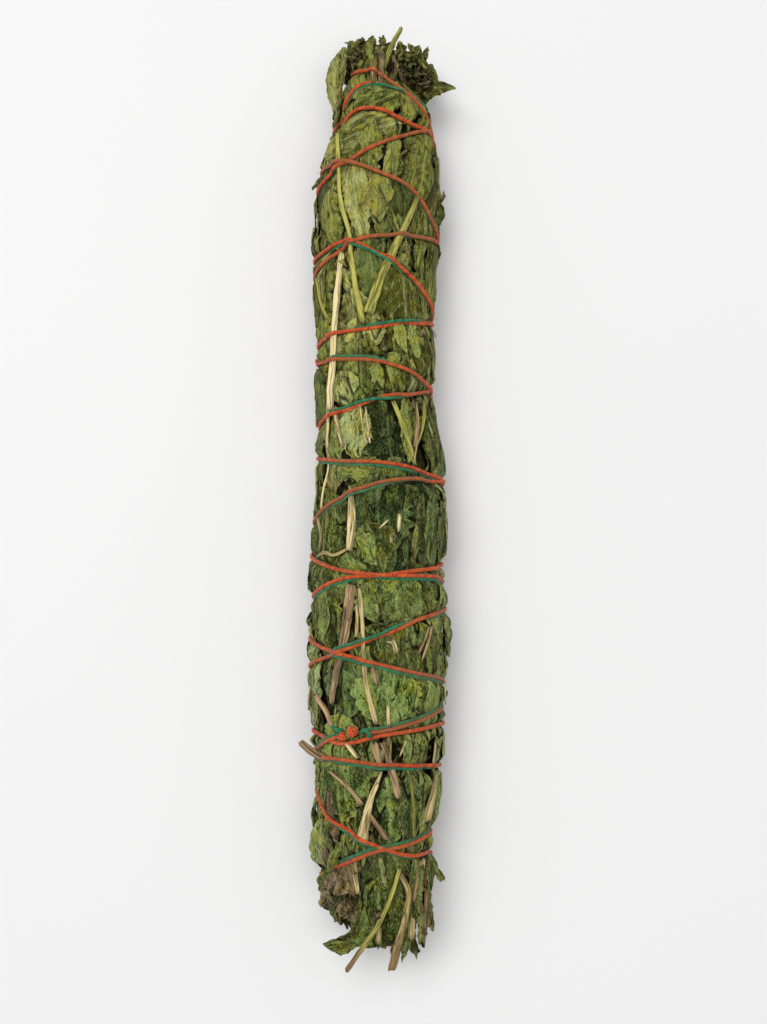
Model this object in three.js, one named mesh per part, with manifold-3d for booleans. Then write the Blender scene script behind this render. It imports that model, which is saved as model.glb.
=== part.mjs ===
// A herbal smudge stick: sprigs of dried leaves pressed lengthwise round a few stalks into a long bundle,
// bound from end to end with a red and a green cotton thread that climb the bundle and come back down.
//
// Millimetres, +Z up. The stick lies along Y on its flattened underside, which is at Z = 0. Its leafy tip
// points to +Y and its cut stalks to -Y. A place on the bundle is given by "along", its Y, and "around",
// in degrees: 0 is the right-hand side (+X), 90 the top, 180 the left and 270 the underside.

import * as THREE from "three";
import { mergeVertices } from "three/addons/utils/BufferGeometryUtils.js";
import Module from "manifold-3d";

const wasm = await Module();
wasm.setup();

// Driving dimensions

const AXIS_HEIGHT = 12.2; // of the bundle's middle line above what it lies on
const FLATNESS = 0.9; // half height over half width: the bundle is pressed a little flat
const TYPICAL_RADIUS = 14.8; // turns a length round the bundle into an angle
const GAP = 0.35; // kept between neighbouring pieces
const LEAF = 0.9; // thickness of one pressed leaf with its folds
const UNDER_LEAF = 2 * LEAF + GAP; // the folded leaves below, as thick as both layers of the sides
const THREAD = 1.0; // diameter of each cotton thread
const THREAD_SIDES = 5;
const THREAD_LIFT = THREAD / 2 + GAP + 0.3; // of a thread's middle above the leaves
const THREAD_FLOOR = THREAD / 2 + 0.15; // height of a thread's middle where it runs below
const STEPS_PER_TURN = 12; // of a thread round the bundle
const STALK = 1.4; // radius of the stalks inside
const STEM_SIDES = 5;
const PACKED_DEPTH = 2.1; // of the packed leaves below the surface, deeper than any stem is sunk
const PACKED_FLOOR = 3.4; // height of the packed leaves' underside

// Along, half width, sideways shift
const STATIONS = [
  [-98, 9.5, 0.1],
  [-92, 11.6, 0.0],
  [-86, 12.9, 0.0],
  [-75, 14.3, -0.2],
  [-55, 15.0, 0.3],
  [-35, 16.2, 0.2],
  [-20, 16.0, 0.15],
  [0, 15.2, 0.1],
  [15, 13.9, -0.4],
  [30, 14.2, -0.6],
  [45, 13.8, -0.6],
  [62, 14.6, -0.4],
  [75, 14.5, 0.3],
  [86, 12.6, 0.7],
  [93, 10.8, 0.6],
  [101, 7.8, 1.1],
];
const PACKED_FROM = -89;
const PACKED_TO = 98;
const LEAF_END = 0.14; // half width of a leaf's blunt ends, as a share of its widest

// The threads' way from the knot up to the tip and back: where each turn passes these places around the
// bundle. The first turn starts at the knot, on the upper side, and the last one ends there.
const KNOT = { along: -54.8, around: 111, leaves: 102, arrives: 121 };
const TURN_AT = [150, 120, 90, 60, 30];
const TURNS = [
  [null, null, -54.4, -52.7, -50.6],
  [-39.1, -36.8, -33.9, -30.6, -28.9],
  [-24.1, -21.6, -20.7, -19.5, -18.5],
  [-5.6, -3.0, -0.3, 1.1, 1.3],
  [15.5, 17.3, 19.2, 20.4, 22.1],
  [34.0, 35.1, 36.0, 37.5, 38.3],
  [52.4, 55.6, 57.0, 57.6, 58.2],
  [72.3, 75.4, 79.2, 82.4, 84.7],
  [90.5, 94.8, 95.7, 94.5, 93.0],
  [99.0, 99.5, 99.2, 96.4, 89.5],
  [86.0, 88.5, 87.8, 85.7, 84.5],
  [75.4, 75.1, 72.0, 68.8, 63.5],
  [55.5, 56.4, 53.2, 49.3, 44.5],
  [29.0, 29.1, 28.4, 26.1, 23.5],
  [6.0, 4.9, 4.4, 3.6, 2.6],
  [-17.4, -19.5, -20.8, -21.0, -21.0],
  [-36.3, -38.3, -40.5, -42.4, -43.6],
  [-56.3, -57.5, -55.8, -54.7, -53.8],
  [-61.1, -61.4, -62.2, -62.7, -62.9],
  [-72.8, -76.5, -79.7, -81.9, -82.1],
  [-85.4, -82.8, -80.2, -79.0, -77.4],
];

const rad = THREE.MathUtils.degToRad;
const vector = (point) => new THREE.Vector3(...point);

// The bundle's surface

const profile = new THREE.CubicInterpolant(
  STATIONS.map(([along]) => along),
  STATIONS.flatMap(([, halfWidth, shift]) => [halfWidth, shift]),
  2,
);

// The point that stands "lift" off the bundle's surface. Below, the surface is pressed flat at Z = 0.
function skinPoint(along, around, lift, lowest = -lift) {
  const [halfWidth, shift] = profile.evaluate(along);
  const angle = rad(around);
  const x = shift + (halfWidth + lift) * Math.cos(angle);
  const z = AXIS_HEIGHT + (halfWidth * FLATNESS + lift) * Math.sin(angle);
  return new THREE.Vector3(x, along, Math.max(z, lowest));
}

// Moves each vertex of a geometry to where "place" says.
function bend(geometry, place) {
  const position = geometry.getAttribute("position");
  for (let i = 0; i < position.count; i++) {
    const placed = place(position.getX(i), position.getY(i), position.getZ(i));
    position.setXYZ(i, placed.x, placed.y, placed.z);
  }
  return geometry;
}

// Shapes. Each takes "grow", by which its walls stand out when it clears room for itself in a neighbour.

// A leaf's half width, as a share, from its stalk end (0) to its tip (1).
function leafOutline(share) {
  const within = THREE.MathUtils.clamp(share, 0, 1);
  const widestTowardsStalk = within ** 0.85;
  return Math.max(LEAF_END, Math.sin(Math.PI * widestTowardsStalk) ** 0.75);
}

// A leaf pressed round the bundle, its outer face level with the surface and its tip turned by "lean".
function wrappedLeaf(grow, { along, around, lean = 0, length, width, thick = LEAF }) {
  const turn = rad(lean);
  const slab = new THREE.BoxGeometry(length + 2 * grow, 2, thick + 2 * grow, 6, 4, 1);
  return bend(slab, (forward, side, out) => {
    const across = side * ((width / 2) * leafOutline(forward / length + 0.5) + grow);
    const arc = forward * Math.sin(turn) + across * Math.cos(turn);
    return skinPoint(
      along + forward * Math.cos(turn) - across * Math.sin(turn),
      around + THREE.MathUtils.radToDeg(arc / TYPICAL_RADIUS),
      out - thick / 2,
    );
  });
}

// A leaf that sticks out of an end, along a spine of points and cupped towards "facing".
function looseLeaf(grow, { spine, width, facing = [0, 0, 1], cup = 0 }) {
  const curve = new THREE.CatmullRomCurve3(spine.map(vector));
  const slab = new THREE.BoxGeometry(1, 2, LEAF + 2 * grow, 5, 4, 1);
  return bend(slab, (share, side, out) => {
    const tangent = curve.getTangent(share + 0.5);
    const sideways = vector(facing).cross(tangent).normalize();
    const normal = tangent.clone().cross(sideways);
    const across = side * ((width / 2) * leafOutline(share + 0.5) + grow);
    return curve
      .getPoint(share + 0.5)
      .addScaledVector(tangent, 2 * share * grow)
      .addScaledVector(sideways, across)
      .addScaledVector(normal, out + cup * (across / (width / 2)) ** 2);
  });
}

// A round bar of a few sides along a curve.
function bar(curve, radius, sides, steps) {
  const section = new THREE.Shape();
  for (let i = 0; i < sides; i++) {
    const angle = (2 * Math.PI * i) / sides;
    const corner = [radius * Math.cos(angle), radius * Math.sin(angle)];
    if (i) section.lineTo(...corner);
    else section.moveTo(...corner);
  }
  return new THREE.ExtrudeGeometry(section, { extrudePath: curve, steps, bevelEnabled: false });
}

// A stem through points. Its ends are moved out by "grow".
function stem(grow, points, radius, steps = 5) {
  const path = points.map((point) => point.clone());
  const ends = [
    [path[0], path[1]],
    [path[path.length - 1], path[path.length - 2]],
  ];
  for (const [end, next] of ends) end.addScaledVector(end.clone().sub(next).normalize(), grow);
  return bar(new THREE.CatmullRomCurve3(path), radius + grow, STEM_SIDES, steps);
}

// A stem sunk in the leaves, so that its outer side is level with them. Its places are [around, along].
function sunkStem(grow, { route, radius }) {
  const points = route.map(([around, along]) => skinPoint(along, around, -radius, 0.6 + radius));
  return stem(grow, points, radius);
}

// The threads

const laid = [[KNOT.leaves, KNOT.along]];
TURNS.forEach((turn, number) =>
  turn.forEach((along, i) => {
    if (along !== null) laid.push([TURN_AT[i] - 360 * number, along]);
  }),
);
laid.push([KNOT.arrives - 360 * TURNS.length, KNOT.along - 0.4]);
const travelled = laid.map(([around]) => -around);
const laidAlong = new THREE.CubicInterpolant(
  travelled,
  laid.map(([, along]) => along),
  1,
);
const TRAVEL_FROM = travelled[0];
const TRAVEL_TO = travelled[travelled.length - 1];
const THREAD_STEPS = Math.round(((TRAVEL_TO - TRAVEL_FROM) / 360) * STEPS_PER_TURN);

// Where the pair passes over a turn that was laid before it, it rides outside that turn. Below, where the
// stick lies on it, the earlier turn is pressed up into the leaves instead.
const PAIR_WIDTH = 2 * THREAD + GAP;
const RIDE_HEIGHT = THREAD + GAP + 0.15;
const RIDE_REACH = 2.2 * PAIR_WIDTH;
const samples = Array.from({ length: THREAD_STEPS + 1 }, (_, i) => {
  const travel = TRAVEL_FROM + ((TRAVEL_TO - TRAVEL_FROM) * i) / THREAD_STEPS;
  return { travel, along: laidAlong.evaluate(travel)[0], ride: 0, pressed: 0 };
});
for (const sample of samples)
  for (const earlier of samples) {
    if (sample.travel - earlier.travel < 180) break;
    const apart = THREE.MathUtils.euclideanModulo(sample.travel - earlier.travel + 180, 360) - 180;
    const distance = Math.hypot(sample.along - earlier.along, rad(apart) * TYPICAL_RADIUS);
    const near = 1 - THREE.MathUtils.smoothstep(distance, PAIR_WIDTH + 0.2, RIDE_REACH);
    sample.ride = Math.max(sample.ride, near * (RIDE_HEIGHT + earlier.ride));
    earlier.pressed = Math.max(earlier.pressed, near * RIDE_HEIGHT);
  }

// The middle line of one thread of the pair, "beside" the pair's own line.
class Winding extends THREE.Curve {
  constructor(beside) {
    super();
    this.beside = beside;
  }
  middle(share) {
    const travel = THREE.MathUtils.lerp(TRAVEL_FROM, TRAVEL_TO, share);
    const step = Math.min(share * THREAD_STEPS, THREAD_STEPS - 1e-6);
    const [before, after] = [samples[Math.floor(step)], samples[Math.floor(step) + 1]];
    const ride = THREE.MathUtils.lerp(before.ride, after.ride, step % 1);
    const pressed = THREE.MathUtils.lerp(before.pressed, after.pressed, step % 1);
    return skinPoint(laidAlong.evaluate(travel)[0], -travel, THREAD_LIFT + ride, THREAD_FLOOR + pressed);
  }
  getPoint(share) {
    const nudge = 0.2 / THREAD_STEPS;
    const from = this.middle(Math.max(0, share - nudge));
    const to = this.middle(Math.min(1, share + nudge));
    const point = this.middle(share);
    const outwards = new THREE.Vector3(point.x, 0, point.z - AXIS_HEIGHT).normalize();
    const sideways = outwards.cross(to.sub(from)).normalize();
    return point.addScaledVector(sideways, this.beside);
  }
}
const BESIDE = (THREAD + GAP) / 2;
const thread = (grow, beside) =>
  bar(new Winding(beside), THREAD / 2 + grow, THREAD_SIDES, THREAD_STEPS);

// Colours, matched to dried leaves, straw and cotton

const finish = (color, roughness = 0.8) =>
  new THREE.MeshStandardMaterial({ color, roughness, metalness: 0, flatShading: true });
const RED_COTTON = finish("#c8431f", 0.9);
const GREEN_COTTON = finish("#1f7a4c", 0.9);
const STRAW = finish("#b9a878");
const GREEN_STEM = finish("#8f9a4b");
const BROWN_STEM = finish("#8a6f52");
const LEAF_GREEN = finish("#66753f");
const LEAF_PALE = finish("#8a985e");
const LEAF_DARK = finish("#46552f");
const LEAF_BROWN = finish("#5d4f41");

// The pieces, outermost first: each is cut to clear the ones before it

const pieces = [];
const add = (name, material, build) => pieces.push({ name, material, build });

add("red_thread", RED_COTTON, (grow) => thread(grow, BESIDE));
add("green_thread", GREEN_COTTON, (grow) => thread(grow, -BESIDE));
add("thread_knot", RED_COTTON, (grow) => {
  const lump = new THREE.SphereGeometry(1, 10, 6).scale(1.5 + grow, 1.7 + grow, 1.1 + grow);
  const place = skinPoint(KNOT.along, KNOT.around, GAP + 1.2);
  return lump.rotateY(rad(90 - KNOT.around)).translate(place.x, place.y, place.z);
});

// Stems that show on the outside, each with its route as [around, along]
const SUNK_STEMS = [
  ["petiole_upper_left", GREEN_STEM, 0.6, [[135, 83], [126, 71], [118, 58], [108, 44.5], [100, 36.5]]],
  ["straw_stem_upper", STRAW, 0.7, [[121, 54], [127, 45], [131, 36], [133, 27], [135, 20]]],
  ["straw_fork_left", STRAW, 0.65, [[140, 17.5], [145, 9.5], [147, 3.5], [151, -4]]],
  ["straw_fork_right", STRAW, 0.55, [[131, 17], [126, 12.5], [121, 8.5]]],
  ["leaning_stem", GREEN_STEM, 0.6, [[53, 67], [68, 56], [79, 49], [89, 42], [93, 36.5]]],
  ["crossed_stem_long", GREEN_STEM, 0.6, [[76, 19], [69, 13], [59, 6.5], [55, 4]]],
  ["crossed_stem_short", BROWN_STEM, 0.6, [[37, 20], [41, 13], [49, 6]]],
  ["split_stem", STRAW, 0.7, [[113, -2], [112, -8], [113, -15]]],
  ["brown_stem_middle", BROWN_STEM, 0.7, [[110, -23], [116, -29.5], [122, -36], [128, -43.5], [132, -48.5]]],
  ["pale_stem_middle", STRAW, 0.65, [[102, -23], [103, -30.5], [101, -41.5], [97, -48], [93, -53]]],
  ["slanting_stem", BROWN_STEM, 0.7, [[152, -47], [145, -50.5], [137, -53.5]]],
  ["twin_stem_left", BROWN_STEM, 0.7, [[95, -57.5], [91, -61], [87, -65]]],
  ["twin_stem_right", STRAW, 0.7, [[84, -57.5], [80, -61], [76, -66]]],
  ["fanned_stem", STRAW, 0.75, [[93, -68], [97, -72.5], [102, -78]]],
  ["ragged_stem", STRAW, 0.75, [[30, -64.5], [38, -69.5], [45, -74]]],
  ["leaf_rib_lower_left", BROWN_STEM, 0.5, [[132, -63], [118, -66.3], [105, -69.4]]],
  ["back_stem_left", BROWN_STEM, 0.7, [[196, 62], [202, 40], [199, 16]]],
  ["back_stem_right", STRAW, 0.7, [[340, 34], [333, 8], [338, -18]]],
];
for (const [name, material, radius, route] of SUNK_STEMS)
  add(name, material, (grow) => sunkStem(grow, { route, radius }));

// Stalks and stems that stick out
const LOOSE_STEMS = [
  ["end_stalk_left", STRAW, 0.7, [[5.7, -82, 20.5], [1.8, -93, 19], [-2.4, -101, 16.5], [-6.8, -108.4, 13]]],
  ["end_stalk_right", STRAW, 0.85, [[7.2, -82, 18.5], [6.4, -95, 17], [4.8, -102, 15], [3.2, -108, 13]]],
  ["side_stub", BROWN_STEM, 0.75, [[-11.5, -61.5, 18.5], [-14.6, -59.8, 17.6], [-17.4, -57.7, 16.6]]],
  ["tip_stub", GREEN_STEM, 0.7, [[0.8, 97, 15.5], [3.0, 104, 17], [5.6, 110.6, 18]]],
];
for (const [name, material, radius, route] of LOOSE_STEMS)
  add(name, material, (grow) => stem(grow, route.map(vector), radius));

// Leaves that stick out of the ends
const LOOSE_LEAVES = [
  ["tip_leaf_left", LEAF_PALE, 6, [[-8.6, 88, 17], [-11.8, 98, 18.5], [-6.6, 107.3, 17]], [-0.5, 0, 1], 0.8],
  ["tip_leaf_curl", LEAF_DARK, 7, [[-3.4, 95, 16], [-5.6, 103, 17.5], [-8, 108.6, 15]], [-0.2, 0, 1], 1.2],
  ["tip_leaf_middle", LEAF_GREEN, 7, [[-0.6, 96, 13], [-1.6, 104.5, 14.5], [-2.4, 111.2, 13]], [0, 0.1, 1], -1],
  ["tip_leaf_right", LEAF_BROWN, 7, [[4.6, 95, 12], [8, 102.5, 14], [10.2, 108.6, 13]], [0.4, 0, 1], 1.2],
  ["tip_leaf_outer", LEAF_DARK, 8, [[6.6, 91.5, 10], [11.2, 97, 11.5], [14.4, 102.8, 12]], [0.6, 0, 1], 1],
  ["tip_leaf_side", LEAF_PALE, 5, [[7.6, 88.5, 14.5], [13.4, 94.6, 16], [19.4, 96.4, 16.5]], [0, 0.4, 1], -0.6],
  ["end_leaf_large", LEAF_GREEN, 17, [[1.4, -81, 15.5], [-1.6, -93.5, 14], [-11.6, -105, 8]], [0.1, 0, 1], 1.2],
  ["end_leaf_purple", LEAF_BROWN, 10, [[-8.4, -82, 14.5], [-9.6, -91, 13], [-7.4, -99, 10.5]], [-0.6, 0, 1], 1.4],
  ["end_leaf_flap", LEAF_PALE, 6, [[-13, -73.5, 16.5], [-15.2, -80, 14.5], [-14, -87.6, 12.5]], [-1, 0, 0.6], 0.4],
  ["end_leaf_right", LEAF_GREEN, 5, [[8.6, -83, 12], [9.6, -94, 10.5], [8.2, -104.5, 7.5]], [0.6, 0, 1], 0.5],
];
for (const [name, material, width, spine, facing, cup] of LOOSE_LEAVES)
  add(name, material, (grow) => looseLeaf(grow, { spine, width, facing, cup }));

// Folded leaves that the stick lies on
const UNDER_LEAVES = [-66, -30, 6, 42, 74];
UNDER_LEAVES.forEach((along, i) =>
  add(`under_leaf_${i + 1}`, LEAF_DARK, (grow) =>
    wrappedLeaf(grow, { along, around: 270, length: 35, width: 24, thick: UNDER_LEAF }),
  ),
);

// Leaves wrapped round the rest of the outside: around, along, lean, length, width
const OUTER_LEAVES = [
  ["wrap_leaf_neck", LEAF_PALE, 84, 90, 0, 17, 15],
  ["wrap_leaf_shoulder", LEAF_PALE, 128, 76, 8, 26, 20],
  ["wrap_leaf_sage", LEAF_PALE, 100, 58, -8, 24, 10],
  ["wrap_leaf_right_top", LEAF_GREEN, 44, 66, 6, 30, 15],
  ["wrap_leaf_right_upper", LEAF_PALE, 55, 34, 0, 30, 20],
  ["wrap_leaf_left_upper", LEAF_GREEN, 152, 38, 0, 34, 14],
  ["wrap_leaf_middle", LEAF_GREEN, 102, 18, 4, 30, 18],
  ["wrap_leaf_dark", LEAF_DARK, 68, -10, -6, 36, 26],
  ["wrap_leaf_left_middle", LEAF_GREEN, 146, -16, 4, 28, 20],
  ["wrap_leaf_broad", LEAF_GREEN, 62, -46, 8, 32, 26],
  ["wrap_leaf_knot", LEAF_GREEN, 128, -64, -6, 26, 18],
  ["wrap_leaf_low", LEAF_DARK, 76, -76, 6, 22, 15],
  ["wrap_leaf_flank_left_1", LEAF_DARK, 196, 72, 0, 34, 20],
  ["wrap_leaf_flank_left_2", LEAF_DARK, 200, 2, 0, 38, 22],
  ["wrap_leaf_flank_right_1", LEAF_DARK, 350, 58, 0, 36, 20],
  ["wrap_leaf_flank_right_2", LEAF_DARK, 348, -54, 0, 38, 22],
];
for (const [name, material, around, along, lean, length, width] of OUTER_LEAVES)
  add(name, material, (grow) => wrappedLeaf(grow, { around, along, lean, length, width }));

// Stalks inside, and the mass of leaves pressed round them
const STALKS = [
  [[1, -103, 15], [0.5, -40, 15.5], [0, 30, 15.5], [0.5, 94, 14]],
  [[-4, -100, 10], [-4.5, -40, 9.5], [-4.5, 30, 9.5], [-2, 90, 9.5]],
  [[4.6, -98, 9], [4.5, -40, 9.5], [4, 30, 9.5], [3, 92, 9.5]],
];
STALKS.forEach((route, i) =>
  add(`inner_stalk_${i + 1}`, BROWN_STEM, (grow) => stem(grow, route.map(vector), STALK, 10)),
);
add("packed_leaves", LEAF_DARK, () => {
  const length = PACKED_TO - PACKED_FROM;
  const drum = new THREE.CylinderGeometry(1, 1, length, 20, 14);
  return bend(drum, (x, y, z) => {
    const around = THREE.MathUtils.radToDeg(Math.atan2(z, x));
    const along = (PACKED_FROM + PACKED_TO) / 2 + y;
    const surface = skinPoint(along, around, -PACKED_DEPTH, PACKED_FLOOR);
    const middle = new THREE.Vector3(0, along, AXIS_HEIGHT);
    return middle.lerp(surface, Math.hypot(x, z));
  });
});

// Cutting, and the model itself

function solidOf(geometry) {
  const bare = geometry.clone().deleteAttribute("normal").deleteAttribute("uv");
  const merged = mergeVertices(bare, 1e-4);
  return new wasm.Manifold(
    new wasm.Mesh({
      numProp: 3,
      vertProperties: merged.getAttribute("position").array,
      triVerts: new Uint32Array(merged.index.array),
    }),
  );
}

function boxesMeet(a, b) {
  const [one, other] = [a.boundingBox(), b.boundingBox()];
  return [0, 1, 2].every((k) => one.min[k] < other.max[k] && other.min[k] < one.max[k]);
}

// A cut can leave crumbs: only the largest body is the piece.
function largestOf(solid) {
  return solid.decompose().reduce((most, body) => (body.volume() > most.volume() ? body : most));
}

function meshOf(solid, name, material) {
  const { vertProperties, triVerts } = solid.getMesh();
  const geometry = new THREE.BufferGeometry()
    .setAttribute("position", new THREE.BufferAttribute(vertProperties, 3))
    .setIndex(new THREE.BufferAttribute(triVerts, 1));
  geometry.computeBoundingBox();
  const middle = geometry.boundingBox.getCenter(new THREE.Vector3());
  geometry.translate(-middle.x, -middle.y, -middle.z);
  geometry.computeVertexNormals();
  const mesh = new THREE.Mesh(geometry, material.clone());
  mesh.name = name;
  mesh.position.copy(middle);
  return mesh;
}

const smudgeStick = new THREE.Group();
const clearances = [];
for (const { name, material, build } of pieces) {
  let solid = solidOf(build(0));
  for (const cutter of clearances) if (boxesMeet(solid, cutter)) solid = solid.subtract(cutter);
  smudgeStick.add(meshOf(largestOf(solid), name, material));
  clearances.push(solidOf(build(GAP)));
}

export default smudgeStick;
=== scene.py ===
"""A herbal smudge stick: dried leaves pressed lengthwise round a few stalks into a long bundle, and bound
with a red and a green cotton thread.

Everything is worked out in millimetres and set down in metres. A place on the bundle is (around, along):
around is in degrees, with 0 on the right-hand side, 90 on top, 180 on the left and 270 underneath, and
along is the place's Y. What lies there stands "lift" off the bundle's smooth outline.
"""

import itertools
import math

import bpy
import numpy as np
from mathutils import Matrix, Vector
from mathutils.bvhtree import BVHTree


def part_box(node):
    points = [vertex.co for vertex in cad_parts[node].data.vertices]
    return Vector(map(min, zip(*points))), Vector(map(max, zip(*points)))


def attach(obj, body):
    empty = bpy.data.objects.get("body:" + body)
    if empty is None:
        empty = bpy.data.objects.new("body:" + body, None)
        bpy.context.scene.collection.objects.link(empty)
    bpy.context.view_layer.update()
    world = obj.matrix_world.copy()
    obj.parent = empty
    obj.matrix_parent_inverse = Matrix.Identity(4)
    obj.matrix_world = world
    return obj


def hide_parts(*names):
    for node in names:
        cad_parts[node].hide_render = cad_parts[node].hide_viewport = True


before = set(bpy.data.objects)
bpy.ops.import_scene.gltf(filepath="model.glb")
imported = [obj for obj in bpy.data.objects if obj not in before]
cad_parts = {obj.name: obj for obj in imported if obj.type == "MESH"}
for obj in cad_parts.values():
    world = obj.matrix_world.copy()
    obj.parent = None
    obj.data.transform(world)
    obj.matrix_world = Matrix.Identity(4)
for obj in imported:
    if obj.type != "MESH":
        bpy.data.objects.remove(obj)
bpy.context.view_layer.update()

# --- Driving values ---

MM = 0.001
AXIS_HEIGHT = 12.2  # of the bundle's middle line above what it lies on
FLATNESS = 0.9  # half height over half width
MEAN_RADIUS = 14.8  # turns a length round the bundle into an angle
PACKED_DEPTH = 2.1  # of the CAD model's packed leaves below the outline
PACKED_FROM, PACKED_TO = -90, 98.4  # where their skin begins and ends
OUTLINE_STATIONS = 48
CUT_END_HALF, TIP_HALF = 4.5, 4.0  # half width of the outline far beyond its ends
CUT_END_SHIFT, TIP_SHIFT = 0.2, 1.4  # how far to the right its middle is there

BED = -2.3  # lift of the innermost leaves that can be seen
INNER_CEILING = -1.2  # lift that the leaves inside are pressed down to
UNDER_CEILING = -0.4  # the same for those between them and the outermost ones
CEILING = 0.5  # and for the outermost ones, which the threads press down
SHADE_DEPTH = 1.6  # a place this far below what lies round it is quite dark
EDGE_DEPTH = 0.5  # the same right beside an edge
WIDE_BLUR, NEAR_BLUR = 40, 3  # how often the map is blurred to find what lies round a place, or beside it
FOLD_SHADE = 0.4
HOLLOW_DEPTH = 0.13  # a crease this deep in a leaf gets quite dark painted shade
FLOOR_SLOPE = 0.5  # underneath, deeper layers are pressed up by this share of their depth
FLOOR_LIFT = 1.5
FLOOR_SOFTNESS = 0.5
CEILING_SOFTNESS = 0.3
PRESS_SOFTNESS = 0.2
LEAF_THICK = 0.24
EDGE_WIDTH = 0.45  # of the painted highlight along the edge of a leaf
TOOTH_PITCH = 2.3
SIDE_VEIN_PITCH, SIDE_VEIN_SLANT = 2.9, 0.8
RIB_HALF = 0.45
BROAD = 7  # a leaf wider than this has veins that stand out

STEM_SIDES = 14
STEM_FLAT = 0.7  # a pressed stem's height over its width
STEM_SUNK = 0.2  # how deep it lies in the leaves, as a share of its height

THREAD = 0.92  # diameter of the red cotton thread
GREEN_SHARE = 0.8  # of that, the green one's
THREAD_SIDES = 10
PAIR_APART = 0.86 * THREAD  # between the two threads' middle lines
PAIR_REACH = 1.6 * THREAD  # as far from the pair's middle line, another turn lies clear of it
CROSSING_RISE = 0.7 * THREAD  # how much higher the pair lies on a turn that it crosses
THREAD_BITE = 0.45  # how deep the threads draw in the leaves round them
THREAD_SUNK = 0.3  # how deep the pair's middle lies in the leaves beside it
PRESSED_BELOW = 0.3  # how far below the pair's middle it holds down the leaves that it crosses
OVER_STEM = 0.35  # how far it lies above the top of a stem that it crosses
GROOVE_SLOPE = 1.1  # of the leaves that rise beside a thread
GROOVE_HALF = 0.4
GROOVE_CELLS = 9  # so many of the map's cells away, a thread still holds the leaves down
THREAD_STEP = 0.48
TAUT_STEPS = 9  # over this many steps to each side, a thread bridges the hollows below it
PLY_PITCH = 2.5  # length of one turn of the thread's three plies
LOOSE_FIBRES = 420  # on each thread
FIBRE_RADIUS = 0.028
KNOT_LOBES = 3

# The threads' way from the knot up to the tip and back. Each row is one turn: where it passes the places
# PASSED round the bundle, and how the pair is turned there. 0 has the green thread below the red one,
# towards the cut end, 0.5 has it hidden underneath, 1 has it above, 1.5 has it outside the red one, and 2
# has it below again.
KNOT_ALONG, KNOT_AROUND = -54.8, 111
KNOT_LEAVES, KNOT_ARRIVES = 102, 121
PASSED = [150, 120, 90, 60, 30]
HIDDEN = [2.5] * 5
TURNS = [
    ([None, None, -54.4, -52.7, -50.6], [0.9, 0.9, 0.95, 1.0, 1.0]),
    ([-39.1, -36.8, -33.9, -30.6, -28.9], [0.6, 1.0, 1.4, 0.5, 0.15]),
    ([-24.1, -21.6, -20.7, -19.5, -18.5], [0.1, 0.1, 0.5, 0.5, 0.5]),
    ([-5.6, -3.0, -0.3, 1.1, 1.3], [0.3, 0.05, 0.1, 0.4, 0.5]),
    ([15.5, 17.3, 19.2, 20.4, 22.1], [0.6, 0.95, 1.5, 2.4, 2.5]),
    ([34.0, 35.1, 36.0, 37.5, 38.3], [2.5, 2.6, 3.0, 3.4, 2.5]),
    ([52.4, 55.6, 57.0, 57.6, 58.2], HIDDEN),
    ([72.3, 75.4, 79.2, 82.4, 84.7], HIDDEN),
    ([90.5, 94.8, 95.7, 94.5, 93.0], [2.3, 2.05, 1.7, 1.5, 1.5]),
    ([99.0, 99.5, 99.2, 96.4, 89.5], [2.4, 2.5, 2.5, 2.5, 2.5]),
    ([86.0, 88.5, 87.8, 85.7, 84.5], HIDDEN),
    ([75.4, 75.1, 72.0, 68.8, 63.5], HIDDEN),
    ([55.5, 56.4, 53.2, 49.3, 44.5], [2.5, 2.1, 1.6, 2.5, 2.5]),
    ([29.0, 29.1, 28.4, 26.1, 23.5], [2.6, 2.95, 2.9, 2.5, 2.5]),
    ([6.0, 4.9, 4.4, 3.6, 2.6], [2.2, 2.15, 2.1, 2.1, 2.3]),
    ([-17.4, -19.5, -20.8, -21.0, -21.0], [2.5, 2.5, 2.3, 2.1, 2.05]),
    ([-36.3, -38.3, -40.5, -42.4, -43.6], [2.4, 2.1, 2.05, 2.05, 2.1]),
    ([-56.3, -57.5, -55.8, -54.7, -53.8], HIDDEN),
    ([-61.1, -61.4, -62.2, -62.7, -62.9], [2.3, 2.1, 2.05, 2.1, 2.3]),
    ([-72.8, -76.5, -79.7, -81.9, -82.1], [2.5, 2.1, 2.3, 2.3, 2.4]),
    ([-85.4, -82.8, -80.2, -79.0, -77.4], [2.9, 3.0, 3.0, 2.95, 2.9]),
]

# Where the bundle swells or sinks a little more: around, along, by how much
BUMPS = [(180, -37, 0.9), (180, -50, 0.5), (180, -8.5, -1.2)]
BUMP_REACH = 9

# --- Noise and grids ---

LATTICE = 128
LATTICE_ANGLES = np.random.default_rng(3).uniform(0, 2 * np.pi, (LATTICE, LATTICE))
SEED_STEP = 0.618
random = np.random.default_rng(29)
seeds = itertools.count(1)


def noise(x, y, seed):
    """Gradient noise from about -1 to 1, with features one unit across."""
    x, y = np.broadcast_arrays(np.asarray(x, float) + 31.7 * seed, np.asarray(y, float) + 17.3 * seed)
    column, row = np.floor(x).astype(int), np.floor(y).astype(int)
    fx, fy = x - column, y - row
    blend_x = fx**3 * (fx * (6 * fx - 15) + 10)
    blend_y = fy**3 * (fy * (6 * fy - 15) + 10)

    def corner(i, j):
        angle = LATTICE_ANGLES[(column + i) % LATTICE, (row + j) % LATTICE]
        return np.cos(angle) * (fx - i) + np.sin(angle) * (fy - j)

    low = corner(0, 0) * (1 - blend_x) + corner(1, 0) * blend_x
    high = corner(0, 1) * (1 - blend_x) + corner(1, 1) * blend_x
    return 1.5 * (low * (1 - blend_y) + high * blend_y)


def creases(x, y, seed):
    """Sharp folds: 1 along winding lines, falling to about -1 between them."""
    return 1 - 3 * np.abs(noise(x, y, seed))


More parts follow.
